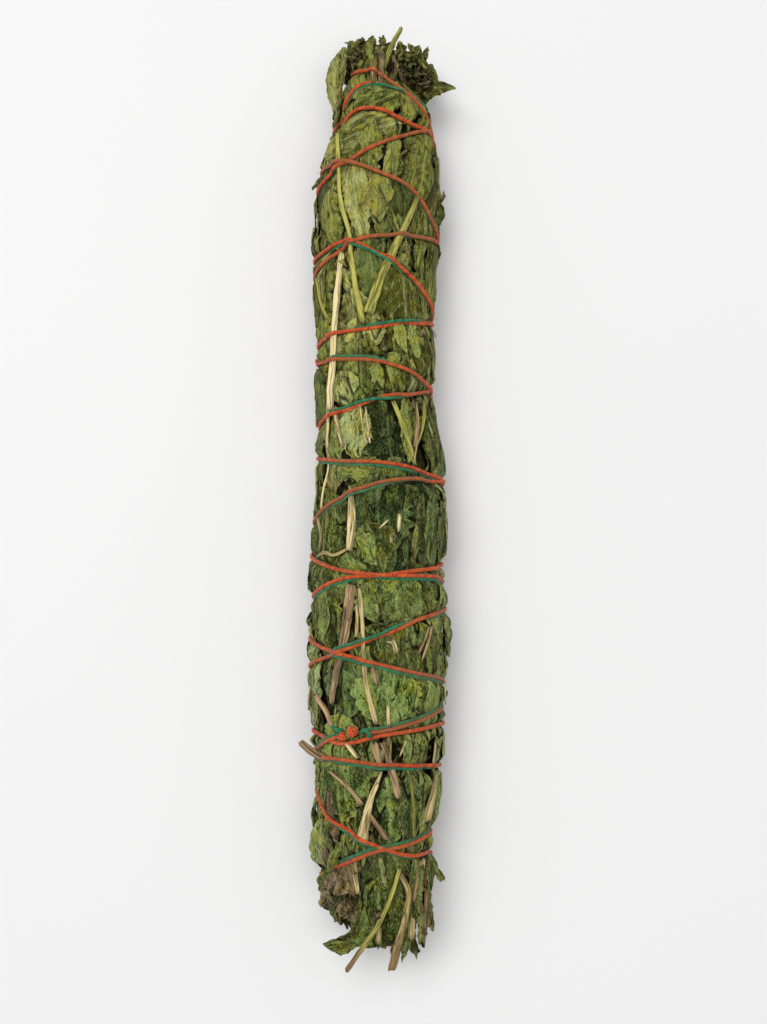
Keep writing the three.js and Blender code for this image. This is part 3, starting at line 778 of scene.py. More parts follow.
UPPER_LEAVES = [
    # name or None, slot, base, tip, width, tone, age
    ("wrap_leaf_shoulder", PALE, (142, 63), (114, 89), 19, 0.9, 0.2),
    ("wrap_leaf_neck", GREEN, (124, 88), (62, 94), 11, 0.45, 0.0),
    (None, GREEN, (60, 85), (52, 97), 6, 0.45, 0.3),
    (None, GREEN, (36, 79), (32, 92), 8, 0.3, 0.1),
    (None, PALE, (156, 79), (66, 85), 12, 0.45, 0.1),
    (None, DARK, (150, 76), (152, 60), 9, 0.45, 0.1),
    (None, GREEN, (98, 84), (96, 70), 6, 0.55, 0.1),
    (None, GREEN, (74, 84), (76, 69), 6, 0.5, 0.1),
    ("wrap_leaf_right_top", GREEN, (36, 84), (62, 54), 13, 0.15, 0.15),
    ("wrap_leaf_sage", PALE, (114, 75), (99, 55), 6.5, 0.88, 0.05),
    (None, GREEN, (137, 69), (134, 55), 8, 0.3, 0.05),
    (None, DARK, (84, 67), (83, 56), 7, 0.5, 0.05),
    (None, DARK, (72, 71), (66, 57), 8, 0.35, 0.05),
    (None, GREEN, (92, 72), (86, 60), 6, 0.55, 0.25),
    ("wrap_leaf_left_upper", GREEN, (150, 56), (153, 22), 13, 0.55, 0.15),
    (None, PALE, (146, 56), (142, 41), 4, 0.5, 0.1),
    (None, DARK, (97, 57), (92, 37), 9, 0.7, 0.0),
    ("wrap_leaf_right_upper", PALE, (66, 51), (50, 20), 17, 0.0, 0.1),
    (None, GREEN, (40, 66), (38, 40), 4.5, 0.5, 0.1),
    (None, GREEN, (27, 64), (27, 41), 4.5, 0.45, 0.2),
    (None, DARK, (15, 66), (17, 38), 5, 0.5, 0.2),
    (None, PALE, (113, 45), (111, 34), 8, 0.6, 0.2),
    (None, PALE, (128, 38), (124, 29), 7, 0.5, 0.05),
    (None, PALE, (106, 38), (104, 30), 7, 0.65, 0.0),
    (None, PALE, (92, 39), (90, 31), 6, 0.4, 0.05),
    (None, GREEN, (64, 38), (60, 30), 5, 0.7, 0.0),
    (None, GREEN, (50, 38), (48, 29), 5, 0.6, 0.0),
    ("wrap_leaf_middle", GREEN, (104, 33), (100, 4), 18, 0.4, 0.1),
    (None, DARK, (158, 30), (152, 6), 9, 0.6, 0.1),
    (None, PALE, (121, 26), (117, 18), 9, 0.7, 0.0),
    (None, GREEN, (75, 30), (72, 18), 9, 0.45, 0.1),
    (None, DARK, (84, 21), (77, 3), 17, -0.2, 0.0),
    (None, GREEN, (131, 18), (128, 5), 8, 0.9, 0.25),
    (None, PALE, (111, 18), (109, 5), 8, 0.85, 0.0),
    (None, DARK, (28, 22), (26, 3), 7, 0.7, 0.2),
    (None, GREEN, (62, 20), (60, 4), 5, 0.6, 0.1),
    (None, GREEN, (128, 4), (66, 1), 7, 0.55, 0.1),
    ("wrap_leaf_left_middle", GREEN, (150, 0), (142, -31), 19, 0.4, 0.05),
    ("wrap_leaf_dark", DARK, (76, 6), (62, -28), 22, 0.4, 0.0),
    (None, DARK, (90, 2), (88, -15), 17, 0.25, 0.0),
    (None, GREEN, (114, -15), (98, -29), 12, 0.5, 0.05),
    (None, GREEN, (99, -9), (88, -19), 9, 0.25, 0.1),
    (None, DARK, (52, -2), (50, -20), 4.5, 0.0, 0.1),
    (None, DARK, (39, -1), (40, -20), 4.5, 0.5, 0.0),
    (None, DARK, (27, -3), (27, -20), 4, 0.4, 0.1),
    (None, GREEN, (141, -21), (136, -38), 12, 0.15, 0.1),
    (None, GREEN, (76, -20), (72, -33), 18, 0.25, 0.2),
    (None, GREEN, (92, -31), (88, -43), 11, 0.15, 0.0),
    ("wrap_leaf_broad", GREEN, (68, -30), (56, -61), 22, 0.25, 0.3),
    (None, DARK, (120, -39), (116, -52), 11, 0.65, 0.05),
    (None, GREEN, (80, -41), (83, -54), 15, 0.8, 0.0),
    (None, GREEN, (45, -43), (42, -57), 4, 0.5, 0.1),
    (None, GREEN, (32, -44), (30, -57), 4, 0.5, 0.1),
    (None, DARK, (20, -42), (20, -57), 4, 0.5, 0.1),
    ("wrap_leaf_knot", GREEN, (124, -51), (134, -77), 18, 1.0, 0.1),
    (None, GREEN, (100, -55), (98, -63), 8, 0.5, 0.1),
    (None, GREEN, (64, -55), (62, -64), 3.5, 0.6, 0.1),
    (None, GREEN, (53, -55), (52, -64), 3.5, 0.5, 0.1),
    (None, GREEN, (130, -62), (124, -73), 15, 0.5, 0.0),
    ("wrap_leaf_low", GREEN, (83, -64), (80, -80), 11, 0.2, 0.0),
    (None, DARK, (62, -64), (58, -81), 6, 0.5, 0.05),
    (None, GREEN, (40, -64), (42, -81), 6, 0.45, 0.1),
    (None, GREEN, (24, -62), (26, -82), 6, 0.4, 0.2),
    (None, BROWN, (136, -67), (131, -80), 3.6, 0.35, 0.1),
    (None, GREEN, (44, -80), (48, -97), 5, 0.45, 0.1),
    (None, BROWN, (118, -82), (119, -91), 5, 0.4, 0.2),
    (None, BROWN, (148, -80), (144, -92), 6, 0.45, 0.2),
]
for node, slot, base, tip, width, tone, age in UPPER_LEAVES:
    into = piece(node, slot, node) if node else piece(f"upper_{slot}", slot)
    lay_leaf(
        into, base, tip, width, tone, age,
        bow=random.normal(0, 0.4), level=random.uniform(-0.1, 0.15), teeth=0.5 if width > 6 else 0.2,
        ragged=random.uniform(0.12, 0.28), cell=0.46, conform=13, **SMOOTH,
    )
fill(20, [GREEN, DARK, GREEN, DARK, PALE], ON_TOP, (-80, 88), (4, 12), (0.8, 2.0), 12, "torn", **TORN)

# Stems sunk in the leaves, by the node that each replaces
SUNK_STEMS = [
    # name, slot, radius, tone, how wide it is at its two ends, route
    ("petiole_upper_left", GREEN_STEM, 0.58, 0.8, (0.9, 1.1),
     [(136, 83), (128, 72), (115, 55.5), (105, 42), (100, 36.5)]),
    ("straw_stem_upper", STRAW, 0.84, 1.3, (0.9, 1.15), [(122, 53.5), (130, 35), (136.5, 17.6)]),
    ("straw_fork_left", STRAW, 0.5, 0.7, (1.1, 0.7), [(139, 18.5), (142, 6), (149, -5)]),
    ("straw_fork_right", STRAW, 0.5, 0.5, (1.1, 0.8), [(132, 18), (126, 13), (120, 8.6)]),
    ("leaning_stem", GREEN_STEM, 0.78, 0.7, (0.7, 1.6), [(53, 67), (70, 55.6), (86, 46.4), (96, 38.6)]),
    ("crossed_stem_long", GREEN_STEM, 0.5, 0.75, (1, 0.9), [(75, 18.5), (67, 13.5), (54, 4.4)]),
    ("crossed_stem_short", BROWN_STEM, 0.65, 0.5, (1, 0.8), [(44, 20.3), (49, 14.8), (55, 8.5)]),
    ("split_stem", STRAW, 0.45, 0.6, (0.8, 1.1), [(114, -0.8), (109, -8), (112, -15.4)]),
    ("brown_stem_middle", BROWN_STEM, 0.98, 0.7, (1.15, 0.6),
     [(110, -23), (117, -33), (124, -42), (131, -48.8)]),
    ("pale_stem_middle", STRAW, 0.48, 0.45, (0.8, 1.2), [(104, -23.5), (102, -34), (99, -45), (92, -53)]),
    ("slanting_stem", BROWN_STEM, 0.65, 0.7, (1, 1), [(154, -47), (142, -50.5), (130, -54)]),
    ("twin_stem_left", BROWN_STEM, 0.8, 0.85, (1, 0.8), [(93, -57.2), (88, -62.5)]),
    ("twin_stem_right", BROWN_STEM, 0.8, 0.75, (0.9, 1), [(87, -57), (79, -62), (72, -69)]),
    ("fanned_stem", STRAW, 0.78, 0.5, (0.35, 1.6), [(87, -63.4), (96, -69.5), (103, -78.5)]),
    ("ragged_stem", STRAW, 0.8, 0.3, (0.5, 1.4), [(29, -64), (37, -69), (44, -74.4)]),
    ("leaf_rib_lower_left", BROWN_STEM, 0.42, 0.6, (0.8, 1.2), [(134, -63.6), (117, -66.3), (103, -70.3)]),
    ("back_stem_left", BROWN_STEM, 0.7, 0.4, (1, 1), [(196, 62), (202, 40), (199, 16)]),
    ("back_stem_right", STRAW, 0.7, 0.3, (1, 1), [(340, 34), (333, 8), (338, -18)]),
]
for node, slot, radius, tone, flare, route in SUNK_STEMS:
    lay_stem(piece(node, slot, node), route, radius, tone, flare)

# Thinner stems and fibres that show between the leaves: slot, radius, route, tone
FIBRES = [
    (STRAW, 0.5, [(112, -2), (112.5, -8), (114, -15)], 0.6),
    (STRAW, 0.4, [(157, -7), (148, -12), (151, -15)], 0.5),
    (STRAW, 0.32, [(153, -16), (140, -15.2), (131, -15.9), (116, -14.8)], 0.4),
    (STRAW, 0.42, [(73, -7.2), (74, -10.8)], 0.9),
    (STRAW, 0.25, [(82, -8.4), (86, -9.4), (89, -10.2)], 0.8),
    (STRAW, 0.3, [(80, -12.2), (80, -13.5)], 0.8),
    (STRAW, 0.28, [(104, 17.4), (102, 13), (99, 8.6)], 0.5),
    (STRAW, 0.25, [(99, 17), (97, 12.5), (96, 9)], 0.5),
    (GREEN_STEM, 0.36, [(38, 20), (42, 13.2), (53, 7.2)], 0.7),
    (STRAW, 0.3, [(47, 19), (51, 12), (57, 5)], 0.2),
    (STRAW, 0.42, [(106, -27), (108, -34.2)], 0.4),
    (BROWN_STEM, 0.35, [(113, -25), (119, -34), (126, -44)], 0.3),
    (BROWN_STEM, 0.45, [(95, -40.8), (91, -44.4)], 0.6),
    (BROWN_STEM, 0.3, [(49, -32), (53, -35), (58, -38)], 0.4),
    (STRAW, 0.25, [(46, -32), (49, -35), (54, -39)], 0.4),
    (STRAW, 0.5, [(80, -34.8), (78, -36), (77, -37.6)], 0.9),
    (STRAW, 0.16, [(84, -35.2), (79, -35.6)], 0.8),
    (STRAW, 0.45, [(159, -45), (168, -48), (176, -50.5)], 0.7),
    (STRAW, 0.5, [(116, -57.4), (107, -60.2)], 0.95),
    (STRAW, 0.4, [(83, -49), (82, -53.2)], 0.7),
    (GREEN_STEM, 0.32, [(79, -56.5), (79, -61)], 0.4),
    (STRAW, 0.2, [(66, -56.6), (71, -60)], 0.6),
    (STRAW, 0.42, [(90, -66), (97, -70.5), (107, -78)], 0.7),
    (BROWN_STEM, 0.5, [(96, -72.6), (89, -75), (81, -77.8)], 0.5),
    (GREEN_STEM, 0.4, [(62, -64.5), (59, -71), (56, -77.6)], 0.2),
    (STRAW, 0.42, [(26, -57), (28, -62.4)], 0.5),
    (STRAW, 0.3, [(21, -44.5), (19, -49)], 0.5),
    (STRAW, 0.35, [(33, -66), (40, -71), (48, -75)], 0.2),
    (STRAW, 0.55, [(111, -82.4), (112, -86), (112, -90)], 0.5),
    (BROWN_STEM, 0.55, [(46, -83), (45, -92)], 0.9),
    (STRAW, 0.5, [(39, -83), (38, -92)], 0.5),
    (GREEN_STEM, 0.45, [(33, -83), (33, -91)], 0.6),
    (GREEN_STEM, 0.3, [(105, 64), (95, 65.5), (85, 66)], 0.3),
    (GREEN_STEM, 0.42, [(160, 49.5), (150, 43.6), (136, 37.4)], 0.4),
    (BROWN_STEM, 0.55, [(105, 104), (95, 95.7)], 0.6),
    (BROWN_STEM, 0.5, [(80, 103), (84, 95.7)], 0.4),
]
for slot, radius, route, tone in FIBRES:
    lay_stem(piece(f"thin_{slot}s", slot), route, radius, tone)

# Broken flakes on top of everything
fill(60, [GREEN, PALE, BROWN, GREEN, DARK], ALL_ROUND, (-86, 94), (1.2, 3.2), (0.6, 1.6), 40, "flakes",
     teeth=0.2, pleats=0.2, crumple=0.2, curl=0.4, cell=0.32)

# --- The two ends ---

LOOSE_STEMS = [
    # name, slot, radius, tone, how wide it is at its two ends, route
    ("end_stalk_left", GREEN_STEM, 0.55, 0.8, (0.8, 1.15),
     [(4.9, -84, 25), (3.1, -89.7, 24.1), (0.1, -96.7, 21.6), (-5, -105.1, 16), (-6.8, -108, 14.4)]),
    ("end_stalk_right", STRAW, 0.62, 0.1, (0.7, 1.5),
     [(5, -85.4, 24.8), (6.6, -88.6, 23.9), (6.2, -94, 22), (4.3, -102.4, 17.4), (3.2, -107.8, 14.6)]),
    ("side_stub", BROWN_STEM, 0.75, 0.5, (1, 1),
     [(-11.5, -61.5, 18.5), (-14.6, -59.8, 17.6), (-17.4, -57.7, 16.6)]),
    ("tip_stub", GREEN_STEM, 0.62, 0.6, (1, 0.8), [(0.8, 100, 15.5), (3.1, 106, 17), (5.5, 110.6, 17)]),
    ("inner_stalk_1", BROWN_STEM, 1.35, 0.4, (1, 1),
     [(1, -102.8, 15), (0.5, -40, 15.5), (0, 30, 15.5), (0.5, 94, 14)]),
    ("inner_stalk_2", BROWN_STEM, 1.35, 0.5, (1, 1),
     [(-4, -99.8, 10), (-4.5, -40, 9.5), (-4.5, 30, 9.5), (-2, 90, 9.5)]),
    ("inner_stalk_3", BROWN_STEM, 1.35, 0.3, (1, 1),
     [(4.6, -97.8, 9), (4.5, -40, 9.5), (4, 30, 9.5), (3, 92, 9.5)]),
]
for node, slot, radius, tone, flare, route in LOOSE_STEMS:
    add_loose_stem(piece(node, slot, node), route, radius, tone, flare=flare)

# Outlines of single leaves: share of the length, half width on the left, half width on the right
LEFT_TIP_EDGES = [(0, 0.8, 0.8), (0.2, 1.8, 2.2), (0.5, 2.6, 2.4), (0.8, 2.2, 1.6), (1, 0.5, 0.4)]
RIGHT_TIP_EDGES = [(0, 1, 1.2), (0.4, 2, 2), (0.62, 1.6, 1.2), (0.85, 0.8, 0.7), (1, 0.2, 0.2)]
LARGE_END_EDGES = [
    (0, 2, 3), (0.08, 2.8, 4.4), (0.32, 4.6, 5.4), (0.4, 4.8, 6), (0.58, 5.4, 6.2), (0.77, 5.8, 5.8),
    (0.85, 6.4, 5.4), (0.93, 6.0, 4.6), (0.97, 4.4, 3), (1, 2.0, 1.5),
]
LOBE_EDGES = [
    (0, 2.4, 2.6), (0.3, 2.2, 2.3), (0.55, 1.5, 2.3), (0.72, 1.0, 2.7), (0.84, 0.7, 1.9),
    (0.93, 0.5, 0.9), (1, 0.12, 0.15),
]
FLAP_EDGES = [(0, 1.2, 0.8), (0.2, 2.2, 2.2), (0.6, 2.4, 2.2), (0.9, 1.8, 1.4), (1, 0.8, 0.8)]
LOOSE_LEAVES = [
    # name, slot, width, which way it faces, roll, tone, edges, spine
    ("tip_leaf_left", PALE, 5, (-0.5, 0, 1), 0.3, 0.5, LEFT_TIP_EDGES,
     [(-10.2, 90.5, 15), (-10.2, 98, 17.5), (-8, 106, 16.5)]),
    ("tip_leaf_curl", DARK, 6, (-0.2, 0, 1), 0.5, 0.4, None,
     [(-4.4, 97, 11), (-5.6, 104, 14), (-6.4, 109, 14)]),
    ("tip_leaf_middle", GREEN, 5, (0, 0.1, 1), -0.6, 0.5, None,
     [(-1.6, 98, 10.5), (-1.9, 104.5, 14), (-1.4, 110.6, 13)]),
    ("tip_leaf_right", DARK, 6, (0.4, 0, 1), 0.5, 0.3, None,
     [(4.6, 97, 10), (8, 103, 12.5), (9.8, 108.8, 12)]),
    ("tip_leaf_outer", DARK, 7, (0.6, 0, 1), 0.4, 0.3, None,
     [(7.6, 93.5, 9), (11, 98.5, 11), (13, 104.4, 11.5)]),
    ("tip_leaf_side", GREEN, 4, (0, -0.1, 1), -0.25, 0.4, RIGHT_TIP_EDGES,
     [(11.4, 95, 13.5), (14.6, 96.9, 15), (18.6, 96.4, 15.5)]),
    ("end_leaf_large", GREEN, 12, (0.05, 0, 1), -0.025, 0.15, LARGE_END_EDGES,
     [(0.2, -83, 23.8), (0.3, -90, 22.8), (0.4, -97, 20), (0.7, -102.4, 16.4)]),
    ("end_leaf_large", GREEN, 5, (0.05, 0, 1), -0.025, 0.15, LOBE_EDGES,
     [(-0.4, -99, 18), (-3.6, -100, 17.2), (-7.6, -101.4, 15.8), (-12.2, -102.3, 14.6)]),
    ("end_leaf_purple", BROWN, 7, (-0.6, 0, 1), 0.25, 0.6, None,
     [(-7.4, -83, 20.5), (-7.6, -90, 19), (-5.8, -97, 17)]),
    ("end_leaf_flap", PALE, 5, (-0.4, 0, 0.9), 0.1, 0.6, FLAP_EDGES,
     [(-12.4, -74.6, 17), (-13, -79.6, 16.6), (-12.4, -84.8, 15.6)]),
    ("end_leaf_right", GREEN, 3.2, (0.3, 0, 1), 0.3, 0.35, None,
     [(7.7, -87, 21), (7.4, -94, 19), (5.4, -106.3, 14)]),
]
for node, slot, width, facing, roll, tone, edges, spine in LOOSE_LEAVES:
    fly_leaf(
        piece(node, slot, node), spine, width, facing, tone,
        roll=roll, pleats=0.3, crumple=0.16, curl=0.3, teeth=0.3, ragged=0.1, cell=0.4, edges=edges,
    )
BITS = [
    # name, slot, width, spine, tone
    ("tip_bits_pale", PALE, 2.2, [(-9.4, 91, 16), (-8.6, 97.5, 18.4), (-7.9, 103.6, 17.6)], 0.1),
    ("tip_bits_green", GREEN, 2.2, [(-1.2, 98.6, 18.2), (-1.9, 103, 18.4), (-2.5, 107.6, 16.8)], 0.9),
    ("tip_bits_brown", BROWN, 2, [(1, 97.6, 18.4), (0.9, 101.4, 18.6), (0.4, 105.4, 16.8)], 0.9),
    ("tip_bits_brown", BROWN, 1.6, [(3.6, 97.4, 18), (4.4, 100.4, 18), (3.4, 103.6, 16.6)], 0.8),
    ("side_bits_brown", BROWN, 1.6, [(13.6, 68, 12), (15.2, 69.6, 13), (15.8, 71.6, 13.4)], 0.1),
    ("side_bits_dark", DARK, 2.4, [(13.4, 70.6, 12), (14.8, 67.6, 12.4), (14.4, 63.6, 12)], 0.3),
    ("side_bits_dark", DARK, 2, [(12.8, 60.6, 13), (14, 57.4, 13.6), (13.4, 53.4, 13)], 0.1),
    ("side_bits_brown", BROWN, 1.2, [(-12.6, 73.6, 14), (-14.2, 73.2, 14.4), (-15.6, 71.6, 14.6)], 0.3),
    ("tip_bits_pale", PALE, 1.8, [(-9.4, 93, 15.4), (-10, 90, 15.4), (-10.6, 86.4, 15)], 0.3),
    ("end_bits_pale", PALE, 2.6, [(0.4, -81.5, 24.9), (0.9, -85, 24.5), (1.6, -88.6, 23.8)], 0.6),
    ("end_bits_pale", PALE, 2.4, [(8.7, -90.6, 20.4), (9.9, -98, 17), (10, -103, 14.8)], 0.5),
    ("end_bits_pale", PALE, 1.6, [(11, -84, 19), (11.5, -92, 17), (12.4, -99.6, 14.6)], 0.2),
    ("end_bits_green", GREEN, 2, [(9.6, -84, 21.6), (9.4, -90, 20.4), (8.6, -96, 18)], 0.7),
    ("end_bits_dark", DARK, 2.2, [(7.6, -98, 13), (8, -102.4, 12), (9, -106, 11.6)], 0.4),
    ("end_bits_brown", BROWN, 2, [(5, -96.5, 19), (4, -100.4, 17), (3, -104.2, 15.6)], 0.8),
    ("end_bits_green", GREEN, 2.2, [(-11, -85, 15), (-12.8, -88, 14.4), (-12.2, -91.4, 13.4)], 0.5),
    ("end_bits_green", GREEN, 2.6, [(11.6, -82.4, 16.4), (13.1, -85.6, 15.8), (14.5, -88.4, 15.2)], 0.6),
    ("end_bits_green", GREEN, 2.8, [(-7.6, -78.5, 22.6), (-9.8, -83, 20.8), (-10.8, -88, 18.4)], 0.3),
]
for name, slot, width, spine, tone in BITS:
    fly_leaf(
        piece(name, slot), spine, width, (0, 0, 1), tone, kind="strip", roll=0.5, crumple=0.25, cell=0.36,
    )

TUFTS = [
    # name, slots, how many, middle, how far they spread sideways and up, which way they point (1 is to the
    # tip), length, width, shade, how tangled, least tone
    ("tip", [DARK, BROWN], 16, (-6.2, 99.4, 14.6), (1.4, 1.6), 1, (3, 5), (1.6, 3), (0.4, 0.8), 0.3, 0.1),
    ("tip", [DARK, GREEN], 50, (-2, 100.6, 12.8), (5.6, 3), 1, (3.6, 6.5), (1.6, 3.4), (0.1, 0.6), 0.3, 0.1),
    ("tip_crown", [DARK, GREEN, GREEN], 60, (-2.8, 106.4, 13.6), (4.0, 2.4), 0.5, (1.6, 3), (1.4, 2.6),
     (0.0, 0.3), 0.9, 0.1),
    ("tip_brown", [BROWN, BROWN, DARK], 54, (7.4, 98.4, 13.4), (4.2, 3.4), 0.6, (2.6, 5), (1.6, 3.6),
     (0.3, 0.8), 0.6, 0.1),
    ("tip_edge", [GREEN, DARK], 50, (8.2, 104, 13.2), (3.8, 2.4), 0.4, (1.8, 3.4), (1.4, 2.8),
     (0.0, 0.3), 0.8, 0.1),
    ("tip_edge", [GREEN, DARK], 16, (11.6, 98.4, 13.6), (1.6, 1.6), 0.2, (1.8, 3.2), (1.4, 2.4),
     (0.0, 0.4), 0.8, 0.1),
    ("cut_end", [DARK, BROWN, GREEN, DARK], 66, (-0.2, -91, 11), (8.5, 6), -1, (4, 8.5), (1.6, 3.6),
     (0.2, 0.6), 0.45, 0.1),
    ("crumpled_end", [BROWN], 22, (-7.2, -85, 20.4), (2.8, 1), -1, (3.6, 6), (2.6, 4.6),
     (0.0, 0.2), 0.3, 0.45),
    ("crumpled_end", [BROWN, BROWN, BROWN, DARK], 30, (-7.6, -90.6, 18.2), (2.4, 1.4), -1, (3, 6),
     (2.6, 4.4), (0.0, 0.2), 0.4, 0.45),
]


def tuft(name, slots, count, middle, spread_by, heading, length, width, shade, tangled, tone):
    """Small curled leaves that stick out of an end of the bundle."""
    for number in range(count):
        slot = slots[number % len(slots)]
        angle, away = random.uniform(0, 2 * np.pi), random.uniform(0, 1) ** 0.6
        sideways, up = spread_by[0] * math.cos(angle), spread_by[1] * math.sin(angle)
        start = middle + away * np.array([sideways, random.uniform(-2.5, 2.5), up])
        outward = np.array([math.cos(angle) * away, 0, math.sin(angle) * away])
        ahead = np.array([0, heading, 0]) + 0.7 * outward + random.normal(0, tangled, 3)
        ahead /= np.linalg.norm(ahead)
        size = random.uniform(*length)
        bend = random.normal(0, 0.25, 3) * size
        spine = [start, start + ahead * size * 0.5 + bend * 0.5, start + ahead * size + bend * 0.2]
        facing = outward + random.normal(0, 0.5, 3) + np.array([0, 0, 0.5])
        fly_leaf(
            piece(f"{name}_{slot}", slot), spine, random.uniform(*width), facing,
            tone=tone + random.uniform(0, 0.5), age=max(0, random.normal(0.15, 0.12)),
            roll=random.choice([-1, 1]) * random.uniform(0.2, 0.8), pleats=0.4, crumple=0.5, curl=0.8,
            teeth=0.7, ragged=0.25, cell=0.45, shade=random.uniform(*shade),
        )


for row in TUFTS:
    tuft(*row)

# Cut stems that show in the cut end. About half of those on the right lie further out.
CUT_STEMS = 20
CUT_FACE_HALF, CUT_FACE_HALF_HEIGHT, CUT_FACE_MIDDLE = 7.5, 7, 12
CUT_STEMS_FROM = -84
for _ in range(CUT_STEMS):
    angle, away = random.uniform(0, 2 * np.pi), random.uniform(0.2, 1)
    x = CUT_FACE_HALF * away * math.cos(angle)
    z = CUT_FACE_MIDDLE + CUT_FACE_HALF_HEIGHT * away * math.sin(angle)
    x = x + 6 * (random.uniform(0, 1) > 0.5) * (x > 0)
    end = random.uniform(-101, -94)
    last = (x * random.uniform(0.95, 1.05), end, z + random.normal(0, 0.8))
    slot = [STRAW, BROWN_STEM][int(random.integers(2))]
    route = [(x, CUT_STEMS_FROM, z), (x * 1.02, CUT_STEMS_FROM - 7, z), last]
    add_loose_stem(piece(f"cut_{slot}s", slot), route, random.uniform(0.4, 0.9), 0.4, shade=0.2)

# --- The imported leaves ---


def surface(around, along, lift):
    """The points of what lies on the bundle, swollen between the threads and held down beside them."""
    swollen = lift + swelling.at(around, along)
    return place(around, along, held_below(swollen, press_map.at(around, along), PRESS_SOFTNESS))


def packed_skin():
    """The mass of leaves inside, as a closed skin that shows between the leaves laid on it."""
    around, along = np.meshgrid(np.arange(0, 360, 3.6), np.arange(PACKED_FROM, PACKED_TO + 0.2, 0.94))
    lift = bed_lift(around, along) - 0.1
    to_end = np.minimum(along - PACKED_FROM, PACKED_TO - along)
    lift = lift - 5.0 * (1 - np.clip(to_end / 4, 0, 1)) ** 2
    faces = [face[:, ::-1] for face in closed_tube(*along.shape)]
    grain = each(along.shape, unrolled(around), along, 0.0)
    paint = each(along.shape, 0.25, 0.2, 0.0)
    shade = np.clip((high_ground.at(around, along) - lift) / SHADE_DEPTH, 0, 1)
    points = surface(around, along, lift).reshape(-1, 3)
    skin = piece("packed_leaves_skin", DARK, "packed_leaves")
    skin.bodies.append(Body(faces, grain, paint, points=points, shade=shade))


# --- The threads ---


def thread_lifts():
    """How high the middle of the pair of threads lies."""
    beside = [(-ROUTE, ROUTE_ALONG + shift) for shift in (-0.5, 0, 0.5)]
    swell = swelling.at(-ROUTE, ROUTE_ALONG)
    taut = smoothed(np.mean([relief.at(*where) for where in beside], axis=0) + swell, TAUT_STEPS)
    stems = np.max([stem_tops.at(*where) for where in beside], axis=0)
    stems = np.max([np.roll(stems, shift) for shift in range(-2, 3)], axis=0) + swell
    taut = smoothed(np.maximum(taut, stems + OVER_STEM + THREAD_SUNK), 4)
    return taut - THREAD_SUNK + pair_rides()


def press_limits():
    """How high the leaves may stand beside the threads, which hold them down."""
    limits = BundleMap(9.0)
    row = np.rint((ROUTE_ALONG - BundleMap.FROM) / BundleMap.CELL).astype(int)
    column = np.rint(-ROUTE / 360 * BundleMap.COLUMNS).astype(int)
    for down, aside in itertools.product(range(-GROOVE_CELLS, GROOVE_CELLS + 1), repeat=2):
        apart_along = (row + down) * BundleMap.CELL + BundleMap.FROM - ROUTE_ALONG
        apart_around = np.radians((column + aside) * 360 / BundleMap.COLUMNS + ROUTE) * MEAN_RADIUS
        aside_by = np.maximum(np.hypot(apart_along, apart_around) - GROOVE_HALF, 0)
        height = pair_lifts - PRESSED_BELOW + GROOVE_SLOPE * aside_by
        cells = (np.clip(row + down, 0, BundleMap.ROWS - 1), (column + aside) % BundleMap.COLUMNS)
        np.minimum.at(limits.values, cells, height)
    return limits


def thread_lines():
    """Middle lines of the red and the green thread, and the way out of the bundle along them."""
    line = place(-ROUTE, ROUTE_ALONG, pair_lifts)
    outwards = np.stack([np.cos(np.radians(-ROUTE)), 0 * ROUTE, np.sin(np.radians(-ROUTE))], -1)
    sideways = sideways_of(np.gradient(line, axis=0), outwards)
    sideways *= np.sign(sideways[:, 1:2])
    wander = 0.05 * noise(ROUTE / 90, 0.0, 5.5)
    turn = np.pi * (pair_twists() + wander)[:, None]
    to_green = PAIR_APART / 2 * (-np.cos(turn) * sideways - np.sin(turn) * outwards)
    lines = {"red": line - to_green, "green": line + to_green}
    for made in lines.values():
        made[:, 2] = np.maximum(made[:, 2], THREAD / 2 + 0.05)
    return lines, outwards


def add_thread(into, line, outwards, phase, radius=THREAD / 2, worn=0.0):
    """A thread of three plies, turned a little from ring to ring."""
    outwards = np.broadcast_to(outwards, line.shape)
    run = lengths_to(line)
    lay = round_angles(THREAD_SIDES) - 2 * np.pi * run[:, None] / PLY_PITCH
    ply = np.abs(np.cos(1.5 * (lay + phase)))  # 1 on the middle of a ply, 0 between two
    uneven = 1 + 0.05 * noise(run / 3, 0.0, phase)[:, None]
    points = tube_points(line, outwards, radius * uneven * (0.8 + 0.26 * ply))
    grain = (THREAD / 2 * lay, run[:, None], phase)
    # The third paint value, 1 between the plies, becomes painted shade there
    add_tube(into, points, grain, (0.5, np.reshape(worn, (-1, 1)), 1 - ply))


def add_fuzz(into, line, outwards):
    """Short loose fibres that stand off a thread."""
    for at in random.integers(4, len(line) - 4, LOOSE_FIBRES):
        direction = outwards[at] * random.uniform(0.1, 1) + random.normal(0, 0.7, 3)
        direction /= np.linalg.norm(direction)
        start = line[at] + direction * THREAD * 0.4
        bend = random.normal(0, 0.35, 3)
        reach = random.uniform(0.4, 1.1)
        halfway = start + direction * reach * 0.5 + bend * 0.3
        fibre, _ = curve([start, halfway, start + direction * reach + bend], 0.3)
        fibre[:, 2] = np.maximum(fibre[:, 2], 0.08)
        sideways = np.broadcast_to(outwards[at] + 0.01, fibre.shape)
        points = tube_points(fibre, sideways, np.full((len(fibre), 3), FIBRE_RADIUS))
        add_tube(into, points, (0.0, float(at), 0.0), (0.9, 0.0, 0.0))


def knot_curve(middle, across, ahead, out, size, phase):
    """A small closed tangle of thread round a point."""
    turned = np.linspace(0, 2 * np.pi, 90)
    ring = size * (0.72 + 0.34 * np.cos(KNOT_LOBES * turned + phase))
    height = 0.38 * size * np.sin(KNOT_LOBES * turned + phase) + 0.1
    return (
        middle
        + (ring * np.cos(2 * turned))[:, None] * across
        + (ring * np.sin(2 * turned))[:, None] * ahead
        + height[:, None] * out
    )


